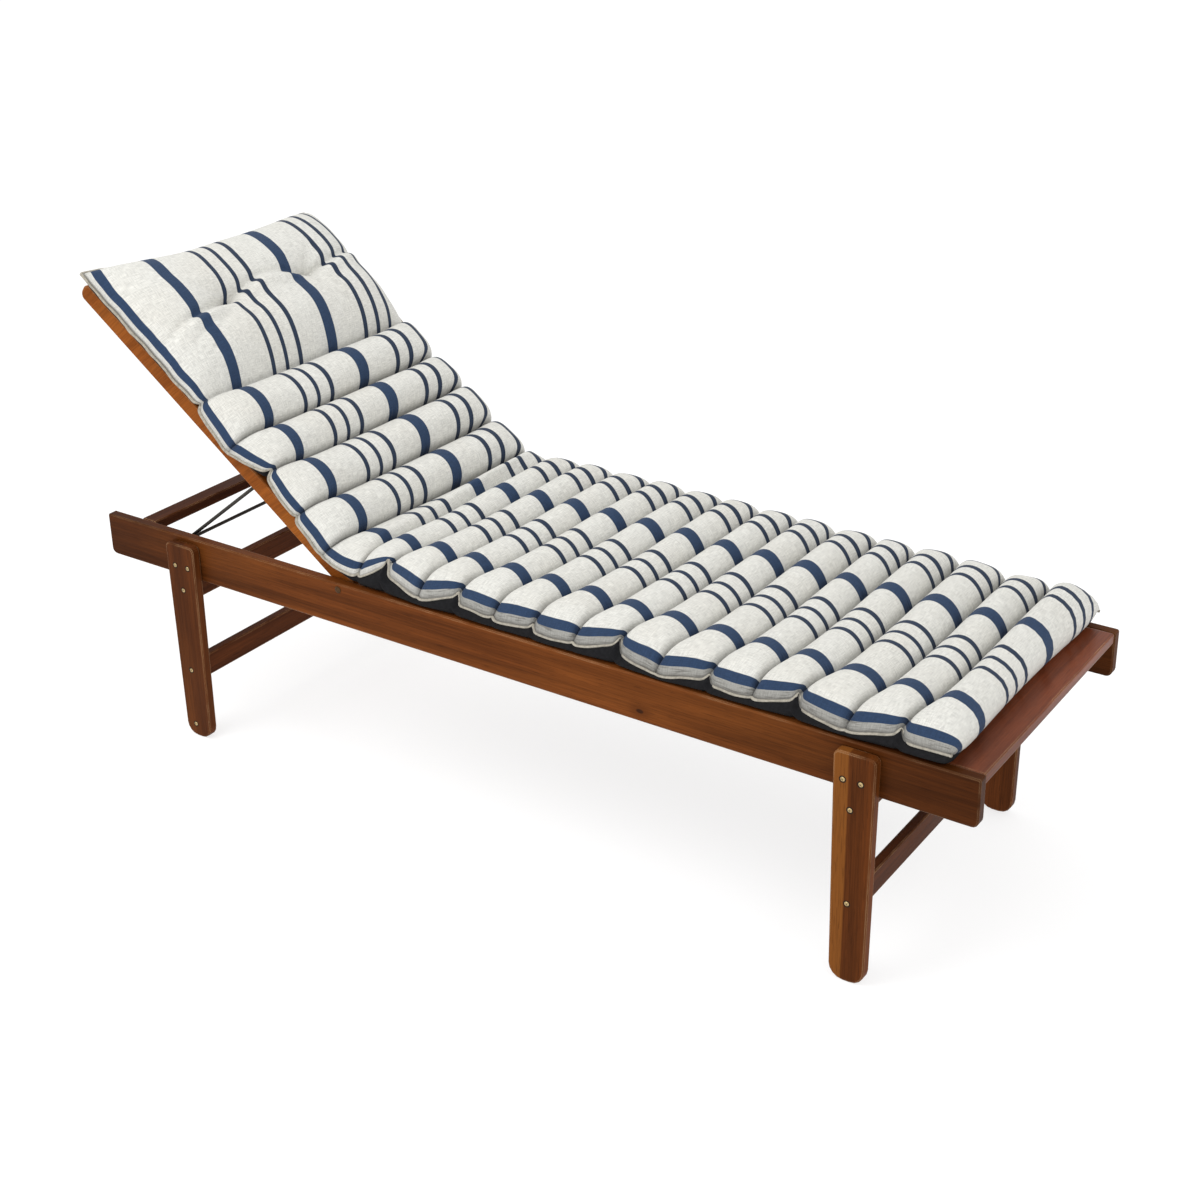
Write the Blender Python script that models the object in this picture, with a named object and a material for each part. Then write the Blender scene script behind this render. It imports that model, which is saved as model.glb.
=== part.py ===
"""A roll-filled sun lounger cushion lying on its wooden sun lounger.

Metres, +Z up. X runs along the lounger from the head (-X) to the foot (+X), and the floor is Z = 0.
The cushion is one stuffed solid: nineteen cross rolls and a head pillow, bent where the backrest rises.
"""
import math

import bmesh
import bpy
from mathutils import Matrix, Vector

# Gap kept between pieces that touch
GAP = 0.0003

# Driving sizes of the lounger
RAIL_LENGTH = 1.920
RAIL_HEIGHT = 0.088
RAIL_THICK = 0.021
FRAME_WIDTH = 0.600
SEAT_TOP = 0.4446
FOOT_END = 0.9724
HEAD_END = FOOT_END - RAIL_LENGTH
RAIL_OUTER = FRAME_WIDTH / 2
RAIL_INNER = RAIL_OUTER - RAIL_THICK
RAIL_BOTTOM = SEAT_TOP - RAIL_HEIGHT
RAIL_CORNER = 0.012
RAIL_TOP_CORNER = 0.004
EDGE_ROUND = 0.0020

# Legs, screwed on outside the rails
LEG_X = {"head": HEAD_END + 0.222, "foot": FOOT_END - 0.204}
LEG_THICK = 0.020
LEG_TOP_WIDTH = 0.0757
LEG_FOOT_WIDTH = 0.0645
LEG_TOP = SEAT_TOP - 0.0105
LEG_TOP_CORNER = 0.011
LEG_FOOT_CORNER = 0.026

# Stretchers across each pair of legs
STRETCHER_THICK = 0.0195
STRETCHER_HEIGHT = 0.048
LOW_STRETCHER_Z = 0.153

# Boards across the rails
FOOT_BOARD_WIDTH = 0.070
BOARD_THICK = 0.020
FOOT_BOARD_INSET = 0.002
HEAD_BAR_WIDTH = 0.036
HEAD_BAR_THICK = 0.022
HEAD_BAR_X = HEAD_END + 0.096
SLAT_WIDTH = 0.060
SEAT_SLATS = 13
FIRST_SEAT_SLAT = 0.062
LAST_SEAT_GAP = 0.030
BACK_SLATS = 8
FIRST_BACK_SLAT = 0.062
LAST_BACK_SLAT_INSET = 0.045

# Backrest, raised about its pivot bolts
BACK_ANGLE = math.radians(36.8)
PIVOT = Vector((HEAD_END + 0.623, 0.0, 0.432))
BACK_RAIL_HEIGHT = 0.035
BACK_RAIL_THICK = 0.020
BACK_RAIL_OUTER = 0.2755
BACK_RAIL_INNER = BACK_RAIL_OUTER - BACK_RAIL_THICK
BACK_LENGTH = 0.803
BACK_TOP_CORNER = 0.014
BACK_FOOT_CORNER = 0.015
BOLT_RADIUS = 0.004
BOLT_HEAD_RADIUS = 0.007
BOLT_HEAD_THICK = 0.0012
BOLT_HEAD_FLAT = 0.75
HOLE_OVERRUN = 0.010
NUT_THICK = 0.004

# Wire prop under the backrest, and the notched racks that it stands in
WIRE_RADIUS = 0.003
PROP_X = HEAD_END + 0.188
PROP_REACH = 0.271
PROP_DROP = 0.008
PROP_SPLAY_ROOM = 0.0016
RACK_LENGTH = 0.240
RACK_THICK = 0.020
RACK_HEIGHT = 0.040
RACK_TOP = SEAT_TOP - 0.0210
RACK_START = HEAD_END + 0.120
NOTCH_DEPTH = 0.010
NOTCH_PITCH = 0.045
NOTCH_HALF = WIRE_RADIUS + 2 * GAP
NOTCH_SLOPE = math.radians(35.0)
NOTCHES_FROM_PROP = (-1, 0, 1, 2)
PROP_Z = RACK_TOP - NOTCH_DEPTH + WIRE_RADIUS + GAP

# Directions along the backrest and out of its lying face
ALONG_BACK = Vector((-math.cos(BACK_ANGLE), 0.0, math.sin(BACK_ANGLE)))
OFF_BACK = Vector((math.sin(BACK_ANGLE), 0.0, math.cos(BACK_ANGLE)))

# Cushion
CUSHION_HALF_WIDTH = 0.300
CUSHION_FOOT_X = FOOT_END - 0.034
BEND_RADIUS = 0.130
CHANNEL_HEIGHT = 0.034
CHANNEL_GROOVE = 0.027
GROOVE_REACH = 0.28
GROOVE_POWER = 1.5
ROLL_ARC = 0.985
END_FULLNESS = 2.4
END_BASE_FULLNESS = 6.0
SIDE_SHARPNESS = 10.0
PILLOW_SIDE_SHARPNESS = 6.0
BASE_SHARPNESS = 16.0
CROSS_STEPS = 14
ROLL_STATIONS = (0.0, 0.05, 0.14, 0.30, 0.5, 0.70, 0.86, 0.95)
VALLEY_DRAW = 0.004
END_DRAW = 0.005
SLIP_SHARPNESS = 4
FAR_WIDER = 0.012
FAR_WIDER_FROM = 0.40
FAR_FULLNESS = 0.026
FAR_PILLOW_FULLNESS = 0.008
FAR_FULL_START = -0.5
FAR_FULL_END = 0.9

# Each end of the cushion draws in along its middle: how far, and the share across where it is deepest
FOOT_BOW = 0.018
FOOT_BOW_CENTRE = -0.15
HEAD_BOW = 0.040
HEAD_BOW_CENTRE = 0.35
HEAD_SLANT = 0.010

# Rolls from the foot to the head: the width of each along the lounger, its crown height, and the seam end
# on its head side: how far that end is drawn in and how high it lies, for the near (-Y) and the far (+Y)
# side, how far the near end slips to the head, and how far the channel slants to the foot by its far end
ROLL_COLUMNS = ("width", "crown", "near_in", "near_up", "near_slip", "far_in", "far_up", "slant")
ROLL_ROWS = (
    (0.0975, 0.072, 0.016, 0.026, 0.016, 0.004, 0.018, 0.010),
    (0.0857, 0.070, 0.002, 0.012, 0.018, 0.016, 0.028, 0.015),
    (0.0926, 0.072, 0.018, 0.031, 0.022, 0.003, 0.019, 0.012),
    (0.0877, 0.073, 0.003, 0.018, 0.009, 0.014, 0.029, 0.014),
    (0.0847, 0.071, 0.014, 0.022, 0.014, 0.005, 0.020, 0.020),
    (0.0936, 0.073, 0.001, 0.010, 0.016, 0.015, 0.027, 0.029),
    (0.0916, 0.074, 0.020, 0.032, 0.012, 0.003, 0.018, 0.038),
    (0.0891, 0.074, 0.004, 0.017, 0.007, 0.014, 0.028, 0.046),
    (0.0891, 0.077, 0.011, 0.022, 0.009, 0.004, 0.020, 0.051),
    (0.0891, 0.077, 0.005, 0.020, 0.003, 0.013, 0.029, 0.056),
    (0.0857, 0.079, 0.017, 0.034, 0.006, 0.004, 0.019, 0.059),
    (0.0867, 0.079, 0.003, 0.016, 0.000, 0.014, 0.028, 0.059),
    (0.0818, 0.079, 0.022, 0.052, 0.006, 0.006, 0.022, 0.059),
    (0.0749, 0.076, 0.008, 0.022, -0.006, 0.010, 0.026, 0.051),
    (0.0860, 0.070, 0.001, 0.008, 0.000, 0.004, 0.020, 0.029),
    (0.0862, 0.070, 0.006, 0.019, 0.002, 0.012, 0.028, 0.013),
    (0.0987, 0.070, 0.015, 0.032, 0.004, 0.004, 0.020, 0.012),
    (0.0912, 0.070, 0.001, 0.003, 0.000, 0.013, 0.028, 0.012),
    (0.1031, 0.071, 0.008, 0.022, 0.003, 0.005, 0.026, 0.012),
)

# Head pillow: its length, fullness, and the two tufts that are sewn through it
PILLOW_LENGTH = 0.361
PILLOW_CROWN = 0.094
PILLOW_END_HEIGHT = 0.030
PILLOW_RISE = 0.34
PILLOW_RISE_POWER = 2.2
PILLOW_FALL = 0.60
PILLOW_FALL_POWER = 2.2
PILLOW_BASE_POWER = 12.0
PILLOW_GROOVE = 0.014
PILLOW_STATIONS = (
    0.0, 0.03, 0.08, 0.15, 0.22, 0.29, 0.35, 0.40, 0.45,
    0.49, 0.53, 0.58, 0.64, 0.72, 0.80, 0.88, 0.95, 1.0,
)
LEAST_THICKNESS = 0.004
FOOT_SEAM_HEIGHT = 0.024
TUFT_COLUMNS = ("along", "across", "depth", "reach")
TUFT_ROWS = (
    (0.180, -0.082, 0.034, 0.036),
    (0.178, 0.138, 0.034, 0.036),
)

# The crease that the tufts pull across the pillow, from the near side to the far one
CREASE_COLUMNS = ("across", "along", "depth")
CREASE_ROWS = (
    (-0.300, 0.125, 0.008),
    (-0.212, 0.158, 0.010),
    (-0.148, 0.169, 0.012),
    (-0.082, 0.180, 0.014),
    (-0.033, 0.195, 0.012),
    (0.026, 0.210, 0.008),
    (0.068, 0.199, 0.010),
    (0.138, 0.178, 0.014),
    (0.181, 0.177, 0.012),
    (0.230, 0.190, 0.010),
    (0.300, 0.199, 0.010),
)
CREASE_REACH = 0.016


def clear_scene():
    for thing in list(bpy.data.objects):
        bpy.data.objects.remove(thing, do_unlink=True)


def material(name, colour, roughness, metallic=0.0):
    made = bpy.data.materials.new(name)
    made.use_nodes = True
    shader = made.node_tree.nodes["Principled BSDF"]
    shader.inputs["Base Color"].default_value = (*colour, 1.0)
    shader.inputs["Roughness"].default_value = roughness
    shader.inputs["Metallic"].default_value = metallic
    return made


def add_object(name, mesh_data, finish):
    mesh = bpy.data.meshes.new(name)
    mesh_data.normal_update()
    mesh_data.to_mesh(mesh)
    mesh_data.free()
    mesh.materials.append(finish)
    thing = bpy.data.objects.new(name, mesh)
    bpy.context.scene.collection.objects.link(thing)
    return thing


def soften_edges(thing, width=EDGE_ROUND, segments=1):
    bevel = thing.modifiers.new("soft edges", "BEVEL")
    bevel.width = width
    bevel.segments = segments
    bevel.limit_method = "ANGLE"
    bevel.angle_limit = math.radians(40.0)


def board(name, size, centre, finish, turn=0.0):
    """A plain board: its size before it is turned about Y, and the place of its middle."""
    data = bmesh.new()
    bmesh.ops.create_cube(data, size=1.0)
    bmesh.ops.scale(data, vec=size, verts=data.verts)
    thing = add_object(name, data, finish)
    thing.location = centre
    thing.rotation_euler = (0.0, turn, 0.0)
    soften_edges(thing)
    return thing


def round_corners(corners, steps=4):
    """Points of an outline in X and Z whose corners (x, z, radius) are rounded off with arcs."""
    points = []
    for index, (x, z, radius) in enumerate(corners):
        here = Vector((x, z))
        before = Vector(corners[index - 1][:2])
        after = Vector(corners[(index + 1) % len(corners)][:2])
        if radius <= 0.0:
            points.append(here)
            continue
        to_before = (before - here).normalized()
        to_after = (after - here).normalized()
        half = to_before.angle(to_after) / 2
        middle = here + (to_before + to_after).normalized() * radius / math.sin(half)
        first = here + to_before * radius / math.tan(half) - middle
        last = here + to_after * radius / math.tan(half) - middle
        sweep = math.pi - 2 * half
        turn = 1.0 if first.x * last.y - first.y * last.x > 0.0 else -1.0
        for step in range(steps + 1):
            angle = turn * sweep * step / steps
            across = first.x * math.cos(angle) - first.y * math.sin(angle)
            rise = first.x * math.sin(angle) + first.y * math.cos(angle)
            points.append(middle + Vector((across, rise)))
    return points


def outline_board(name, outline, y_low, y_high, finish):
    """A board cut to an outline in X and Z, from one Y to another."""
    data = bmesh.new()
    face = data.faces.new([data.verts.new((point.x, y_low, point.y)) for point in outline])
    pushed = bmesh.ops.extrude_face_region(data, geom=[face])
    moved = [item for item in pushed["geom"] if isinstance(item, bmesh.types.BMVert)]
    bmesh.ops.translate(data, vec=(0.0, y_high - y_low, 0.0), verts=moved)
    bmesh.ops.recalc_face_normals(data, faces=data.faces)
    thing = add_object(name, data, finish)
    soften_edges(thing)
    return thing


def turned(name, profile, centre, direction, finish, steps=16):
    """A solid turned about an axis: (radius, distance along) pairs from one end to the other."""
    data = bmesh.new()
    rings = []
    for radius, along in profile:
        ring = []
        for step in range(steps):
            angle = 2 * math.pi * step / steps
            ring.append(data.verts.new((radius * math.cos(angle), radius * math.sin(angle), along)))
        rings.append(ring)
    for low, high in zip(rings, rings[1:]):
        for step in range(steps):
            following = (step + 1) % steps
            data.faces.new((low[step], low[following], high[following], high[step]))
    data.faces.new(rings[0])
    data.faces.new(rings[-1])
    bmesh.ops.recalc_face_normals(data, faces=data.faces)
    thing = add_object(name, data, finish)
    turn = Vector((0.0, 0.0, 1.0)).rotation_difference(Vector(direction)).to_matrix().to_4x4()
    thing.matrix_world = Matrix.Translation(centre) @ turn
    thing.data.shade_smooth()
    thing.data.set_sharp_from_angle(angle=math.radians(35.0))
    return thing


def bore(thing, cutter):
    cut = thing.modifiers.new("bolt hole", "BOOLEAN")
    cut.operation = "DIFFERENCE"
    cut.object = cutter
    cut.solver = "EXACT"


def side_name(side):
    return "near" if side < 0 else "far"


def between(side, first, second):
    """Two distances from the middle plane, as a low and a high Y on one side."""
    return sorted((side * first, side * second))


def make_side_rails(finish):
    corners = (
        (HEAD_END, RAIL_BOTTOM, RAIL_CORNER),
        (FOOT_END, RAIL_BOTTOM, RAIL_CORNER),
        (FOOT_END, SEAT_TOP, RAIL_TOP_CORNER),
        (HEAD_END, SEAT_TOP, RAIL_TOP_CORNER),
    )
    rails = {}
    for side in (-1, 1):
        low, high = between(side, RAIL_INNER, RAIL_OUTER)
        name = f"side_rail_{side_name(side)}"
        rails[side] = outline_board(name, round_corners(corners), low, high, finish)
    return rails


def make_legs(finish):
    for end, x in LEG_X.items():
        corners = (
            (x - LEG_FOOT_WIDTH / 2, 0.0, LEG_FOOT_CORNER),
            (x + LEG_FOOT_WIDTH / 2, 0.0, LEG_FOOT_CORNER),
            (x + LEG_TOP_WIDTH / 2, LEG_TOP, LEG_TOP_CORNER),
            (x - LEG_TOP_WIDTH / 2, LEG_TOP, LEG_TOP_CORNER),
        )
        for side in (-1, 1):
            low, high = between(side, RAIL_OUTER + GAP, RAIL_OUTER + GAP + LEG_THICK)
            outline_board(f"leg_{end}_{side_name(side)}", round_corners(corners), low, high, finish)


def make_stretchers(finish):
    size = (STRETCHER_THICK, 2 * RAIL_OUTER, STRETCHER_HEIGHT)
    high_z = RAIL_BOTTOM - GAP - STRETCHER_HEIGHT / 2
    for end, x in LEG_X.items():
        board(f"stretcher_{end}_high", size, (x, 0.0, high_z), finish)
        board(f"stretcher_{end}_low", size, (x, 0.0, LOW_STRETCHER_Z), finish)


def make_cross_boards(finish):
    span = 2 * (RAIL_INNER - GAP)
    foot_x = FOOT_END - FOOT_BOARD_INSET - FOOT_BOARD_WIDTH / 2
    board("foot_board", (FOOT_BOARD_WIDTH, span, BOARD_THICK),
          (foot_x, 0.0, SEAT_TOP - BOARD_THICK / 2), finish)
    board("head_bar", (HEAD_BAR_WIDTH, span, HEAD_BAR_THICK),
          (HEAD_BAR_X, 0.0, SEAT_TOP - HEAD_BAR_THICK / 2), finish)
    first = PIVOT.x + FIRST_SEAT_SLAT
    last = foot_x - (FOOT_BOARD_WIDTH + SLAT_WIDTH) / 2 - LAST_SEAT_GAP
    for index in range(SEAT_SLATS):
        x = first + (last - first) * index / (SEAT_SLATS - 1)
        board(f"seat_slat_{index + 1:02d}", (SLAT_WIDTH, span, BOARD_THICK),
              (x, 0.0, SEAT_TOP - BOARD_THICK / 2), finish)


def back_point(along, off, y=0.0):
    """A point beside the backrest's middle line: so far from the pivot along it, and so far off it."""
    return PIVOT + ALONG_BACK * along + OFF_BACK * off + Vector((0.0, y, 0.0))


def make_backrest(finish):
    half = BACK_RAIL_HEIGHT / 2
    ends = (
        (-half, -half, BACK_FOOT_CORNER),
        (-half, half, BACK_FOOT_CORNER),
        (BACK_LENGTH, half, BACK_TOP_CORNER),
        (BACK_LENGTH, -half, BACK_TOP_CORNER),
    )
    corners = []
    for along, off, radius in ends:
        point = back_point(along, off)
        corners.append((point.x, point.z, radius))
    rails = {}
    for side in (-1, 1):
        low, high = between(side, BACK_RAIL_INNER, BACK_RAIL_OUTER)
        name = f"back_rail_{side_name(side)}"
        rails[side] = outline_board(name, round_corners(corners, 6), low, high, finish)
    span = 2 * (BACK_RAIL_INNER - GAP)
    run = BACK_LENGTH - FIRST_BACK_SLAT - LAST_BACK_SLAT_INSET
    for index in range(BACK_SLATS):
        along = FIRST_BACK_SLAT + run * index / (BACK_SLATS - 1)
        board(f"back_slat_{index + 1:02d}", (SLAT_WIDTH, span, BOARD_THICK),
              back_point(along, half - BOARD_THICK / 2), finish, turn=BACK_ANGLE)
    return rails


def make_pivot_bolts(rails, back_rails, finish, cutter_finish):
    for side in (-1, 1):
        head_low = RAIL_OUTER + GAP
        nut_top = BACK_RAIL_INNER - GAP
        profile = (
            (BOLT_HEAD_RADIUS * BOLT_HEAD_FLAT, head_low + BOLT_HEAD_THICK),
            (BOLT_HEAD_RADIUS, head_low + BOLT_HEAD_THICK / 2),
            (BOLT_HEAD_RADIUS, head_low),
            (BOLT_RADIUS, head_low),
            (BOLT_RADIUS, nut_top),
            (BOLT_HEAD_RADIUS, nut_top),
            (BOLT_HEAD_RADIUS, nut_top - NUT_THICK),
        )
        outward = (0.0, side, 0.0)
        turned(f"pivot_bolt_{side_name(side)}", profile, PIVOT, outward, finish)
        hole_radius = BOLT_RADIUS + GAP
        hole = ((hole_radius, BACK_RAIL_INNER - HOLE_OVERRUN), (hole_radius, RAIL_OUTER + HOLE_OVERRUN))
        cutter = turned(f"bolt_hole_{side_name(side)}", hole, PIVOT, outward, cutter_finish)
        cutter.hide_render = True
        cutter.display_type = "WIRE"
        bore(rails[side], cutter)
        bore(back_rails[side], cutter)


def make_racks(finish):
    start = RACK_START
    end = RACK_START + RACK_LENGTH
    outline = [(start, RACK_TOP - RACK_HEIGHT), (end, RACK_TOP - RACK_HEIGHT), (end, RACK_TOP)]
    for step in sorted(NOTCHES_FROM_PROP, reverse=True):
        x = PROP_X + NOTCH_PITCH * step
        floor = RACK_TOP - NOTCH_DEPTH
        outline.append((x + NOTCH_HALF + NOTCH_DEPTH / math.tan(NOTCH_SLOPE), RACK_TOP))
        outline.append((x + NOTCH_HALF, floor))
        outline.append((x - NOTCH_HALF, floor))
        outline.append((x - NOTCH_HALF, RACK_TOP))
    outline.append((start, RACK_TOP))
    points = [Vector(point) for point in outline]
    for side in (-1, 1):
        low, high = between(side, RAIL_INNER - GAP - RACK_THICK, RAIL_INNER - GAP)
        rack = outline_board(f"rack_{side_name(side)}", points, low, high, finish)
        rack.modifiers.clear()


def make_wire_prop(finish):
    """A wire bail: a cross bar that stands in the racks, and an arm up to each backrest rail."""
    bar_y = RAIL_INNER - GAP - RACK_THICK / 2
    reach = bar_y + WIRE_RADIUS
    bar = ((WIRE_RADIUS, -reach), (WIRE_RADIUS, reach))
    turned("prop_bar", bar, (PROP_X, 0.0, PROP_Z), (0, 1, 0), finish, 10)
    for side in (-1, 1):
        foot = Vector((PROP_X, side * bar_y, PROP_Z))
        top_y = BACK_RAIL_INNER - WIRE_RADIUS - GAP - PROP_SPLAY_ROOM
        top = back_point(PROP_REACH, -PROP_DROP, side * top_y)
        direction = (top - foot).normalized()
        length = (top - foot).length
        profile = ((WIRE_RADIUS, WIRE_RADIUS + 2 * GAP), (WIRE_RADIUS, length))
        turned(f"prop_arm_{side_name(side)}", profile, foot, direction, finish, 10)


def lying_line(distance):
    """The line that the cushion lies on: the point and the upward normal, so far from its foot end."""
    half = BACK_ANGLE / 2
    lie_half = BACK_RAIL_HEIGHT / 2
    on_back = PIVOT + OFF_BACK * lie_half
    corner_x = on_back.x + (on_back.z - SEAT_TOP) / math.tan(BACK_ANGLE)
    tangent = BEND_RADIUS * math.tan(half)
    flat = CUSHION_FOOT_X - corner_x - tangent
    if distance <= flat:
        return Vector((CUSHION_FOOT_X - distance, 0.0, SEAT_TOP + GAP)), Vector((0.0, 0.0, 1.0))
    angle = min((distance - flat) / BEND_RADIUS, BACK_ANGLE)
    centre = Vector((corner_x + tangent, 0.0, SEAT_TOP + GAP + BEND_RADIUS))
    normal = Vector((math.sin(angle), 0.0, math.cos(angle)))
    point = centre - normal * BEND_RADIUS
    past = distance - flat - BEND_RADIUS * BACK_ANGLE
    if past > 0.0:
        point += ALONG_BACK * past
    return point, normal


def rounded_share(share, sharpness):
    """1 at the middle, falling round to 0 where the share is -1 or 1."""
    return math.sqrt(max(0.0, 1.0 - abs(share) ** sharpness))


def crown_share(place):
    """How far a roll has risen along its arc, 0 at its seams and 1 at its middle."""
    level = math.sqrt(1.0 - ROLL_ARC ** 2)
    return (math.sqrt(1.0 - (ROLL_ARC * (2.0 * place - 1.0)) ** 2) - level) / (1.0 - level)


def groove_share(place):
    """How far the underside is drawn up beside a channel, 1 at the seam."""
    return max(0.0, 1.0 - min(place, 1.0 - place) / GROOVE_REACH) ** GROOVE_POWER


def eased(value, low, high):
    share = min(max((value - low) / (high - low), 0.0), 1.0)
    return share * share * (3.0 - 2.0 * share)


def roll_heights(crown, place, first):
    """Top and underside of a roll before its ends close."""
    top = CHANNEL_HEIGHT + (crown - CHANNEL_HEIGHT) * crown_share(place)
    groove = CHANNEL_GROOVE * groove_share(place)
    if first and place < 0.5:
        to_seam = 1.0 - 2.0 * place
        top = FOOT_SEAM_HEIGHT + (crown - FOOT_SEAM_HEIGHT) * rounded_share(to_seam, END_FULLNESS)
        groove = FOOT_SEAM_HEIGHT * (1.0 - rounded_share(to_seam, END_BASE_FULLNESS))
    return top, groove


def crease_at(across):
    """Where the pillow's crease runs and how deep it is there."""
    rows = [dict(zip(CREASE_COLUMNS, row)) for row in CREASE_ROWS]
    across = min(max(across, rows[0]["across"]), rows[-1]["across"])
    for low, high in zip(rows, rows[1:]):
        if across <= high["across"]:
            share = (across - low["across"]) / (high["across"] - low["across"])
            return between_seams(low, high, "along", share), between_seams(low, high, "depth", share)
    return rows[-1]["along"], rows[-1]["depth"]


def pillow_heights(place, across):
    """Top and underside of the head pillow, with its tufts and its crease."""
    if place < PILLOW_FALL:
        rise = 1.0 - (1.0 - min(place / PILLOW_RISE, 1.0)) ** PILLOW_RISE_POWER
        top = CHANNEL_HEIGHT + (PILLOW_CROWN - CHANNEL_HEIGHT) * rise
        groove = CHANNEL_GROOVE * max(0.0, 1.0 - place * PILLOW_LENGTH / PILLOW_GROOVE) ** GROOVE_POWER
    else:
        past = (place - PILLOW_FALL) / (1.0 - PILLOW_FALL)
        fall = math.sqrt(max(0.0, 1.0 - past ** PILLOW_FALL_POWER))
        top = PILLOW_END_HEIGHT + (PILLOW_CROWN - PILLOW_END_HEIGHT) * fall
        groove = PILLOW_END_HEIGHT * (1.0 - math.sqrt(max(0.0, 1.0 - past ** PILLOW_BASE_POWER)))
    along = place * PILLOW_LENGTH
    for row in TUFT_ROWS:
        tuft = dict(zip(TUFT_COLUMNS, row))
        spread = (along - tuft["along"]) ** 2 + (across - tuft["across"]) ** 2
        top -= tuft["depth"] * math.exp(-spread / (2 * tuft["reach"] ** 2))
    crease, depth = crease_at(across)
    top -= depth * math.exp(-((along - crease) / CREASE_REACH) ** 2)
    return max(top, groove + LEAST_THICKNESS), groove


def cushion_stations(rolls):
    """Cross sections from foot to head: distance, place in the roll, roll number, and both seam ends."""
    closed = {"near_in": END_DRAW, "near_slip": 0.0, "far_in": END_DRAW, "slant": 0.0}
    before = dict(closed, near_up=FOOT_SEAM_HEIGHT, far_up=FOOT_SEAM_HEIGHT)
    head = dict(closed, near_up=PILLOW_END_HEIGHT, far_up=PILLOW_END_HEIGHT, slant=HEAD_SLANT)
    stations = []
    distance = 0.0
    for number, roll in enumerate(rolls):
        for place in ROLL_STATIONS:
            stations.append((distance + roll["width"] * place, place, number, before, roll))
        distance += roll["width"]
        before = roll
    for place in PILLOW_STATIONS:
        stations.append((distance + PILLOW_LENGTH * place, place, len(rolls), before, head))
    return stations


def between_seams(before, after, key, place):
    return before[key] * (1.0 - place) + after[key] * place


def end_draw(place, is_pillow, share):
    """How far a section slips toward the head where an end of the cushion draws in."""
    if is_pillow:
        across = 1.0 - ((share - HEAD_BOW_CENTRE) / (1.0 + HEAD_BOW_CENTRE)) ** 2
        return -HEAD_BOW * across * place ** 2
    across = 1.0 - ((share - FOOT_BOW_CENTRE) / (1.0 - FOOT_BOW_CENTRE)) ** 2
    return FOOT_BOW * across * (1.0 - place)


def section_points(station, rolls, first):
    """Top and underside points of one cross section, from the near side seam to the far one."""
    distance, place, number, before, after = station
    is_roll = number < len(rolls)
    pairs = []
    for step in range(CROSS_STEPS + 1):
        share = math.sin(0.5 * math.pi * (2.0 * step / CROSS_STEPS - 1.0))
        side = "near" if share < 0.0 else "far"
        drawn = between_seams(before, after, side + "_in", place)
        drawn += VALLEY_DRAW * (1.0 - crown_share(place)) if is_roll else 0.0
        seam = between_seams(before, after, side + "_up", place)
        slip = between_seams(before, after, "near_slip", place) * min(share, 0.0) ** SLIP_SHARPNESS
        slip -= between_seams(before, after, "slant", place) * (1.0 + share) / 2
        if first or not is_roll:
            slip += end_draw(place, not is_roll, share)
        wider = FAR_WIDER * eased(distance, 0.0, FAR_WIDER_FROM) if share > 0.0 else 0.0
        y = share * (CUSHION_HALF_WIDTH + wider - drawn)
        fuller = eased(share, FAR_FULL_START, FAR_FULL_END)
        if is_roll:
            top, base = roll_heights(rolls[number]["crown"] + FAR_FULLNESS * fuller, place, first)
        else:
            top, base = pillow_heights(place, y)
            top += FAR_PILLOW_FULLNESS * fuller * rounded_share(2.0 * place - 1.0, 2.0)
        point, normal = lying_line(distance + slip)
        point += Vector((0.0, y, 0.0))
        sharpness = SIDE_SHARPNESS if is_roll else PILLOW_SIDE_SHARPNESS
        top = seam + (top - seam) * rounded_share(share, sharpness)
        base = seam + (base - seam) * rounded_share(share, BASE_SHARPNESS)
        pairs.append((point + normal * top, point + normal * base))
    return pairs


def split_cell(lower, upper, step, inward):
    """The two triangles of one cell, cut so that a corner of the cushion never folds onto itself."""
    left, right = lower[step], lower[step + 1]
    upper_left, upper_right = upper[step], upper[step + 1]
    if inward:
        return (left, right, upper_right), (left, upper_right, upper_left)
    return (left, right, upper_left), (right, upper_right, upper_left)


def make_cushion(finish):
    rolls = [dict(zip(ROLL_COLUMNS, row)) for row in ROLL_ROWS]
    stations = cushion_stations(rolls)
    data = bmesh.new()
    tops = []
    bases = []
    for row, station in enumerate(stations):
        closed_end = row in (0, len(stations) - 1)
        top_row = []
        base_row = []
        for step, (top, base) in enumerate(section_points(station, rolls, station[2] == 0)):
            top_row.append(data.verts.new(top))
            on_seam = closed_end or step in (0, CROSS_STEPS)
            base_row.append(top_row[-1] if on_seam else data.verts.new(base))
        tops.append(top_row)
        bases.append(base_row)
    for rows, flip in ((tops, False), (bases, True)):
        for row, (lower, upper) in enumerate(zip(rows, rows[1:])):
            for step in range(CROSS_STEPS):
                inward = (step < CROSS_STEPS / 2) == (row < len(rows) / 2)
                for triangle in split_cell(lower, upper, step, inward):
                    data.faces.new(triangle[::-1] if flip else triangle)
    cushion = add_object("cushion", data, finish)
    cushion.data.shade_smooth()


def main():
    clear_scene()
    dark_wood = material("stained wood", (0.168, 0.046, 0.015), 0.45)
    warm_wood = material("backrest wood", (0.300, 0.080, 0.018), 0.50)
    steel = material("dark steel", (0.030, 0.028, 0.026), 0.40, 1.0)
    brass = material("plated bolt", (0.550, 0.430, 0.240), 0.35, 1.0)
    cloth = material("cushion cloth", (0.740, 0.720, 0.670), 0.90)
    rails = make_side_rails(dark_wood)
    make_legs(dark_wood)
    make_stretchers(dark_wood)
    make_cross_boards(dark_wood)
    back_rails = make_backrest(warm_wood)
    make_pivot_bolts(rails, back_rails, brass, steel)
    make_racks(dark_wood)
    make_wire_prop(steel)
    make_cushion(cloth)
    bpy.context.view_layer.update()


main()
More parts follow.
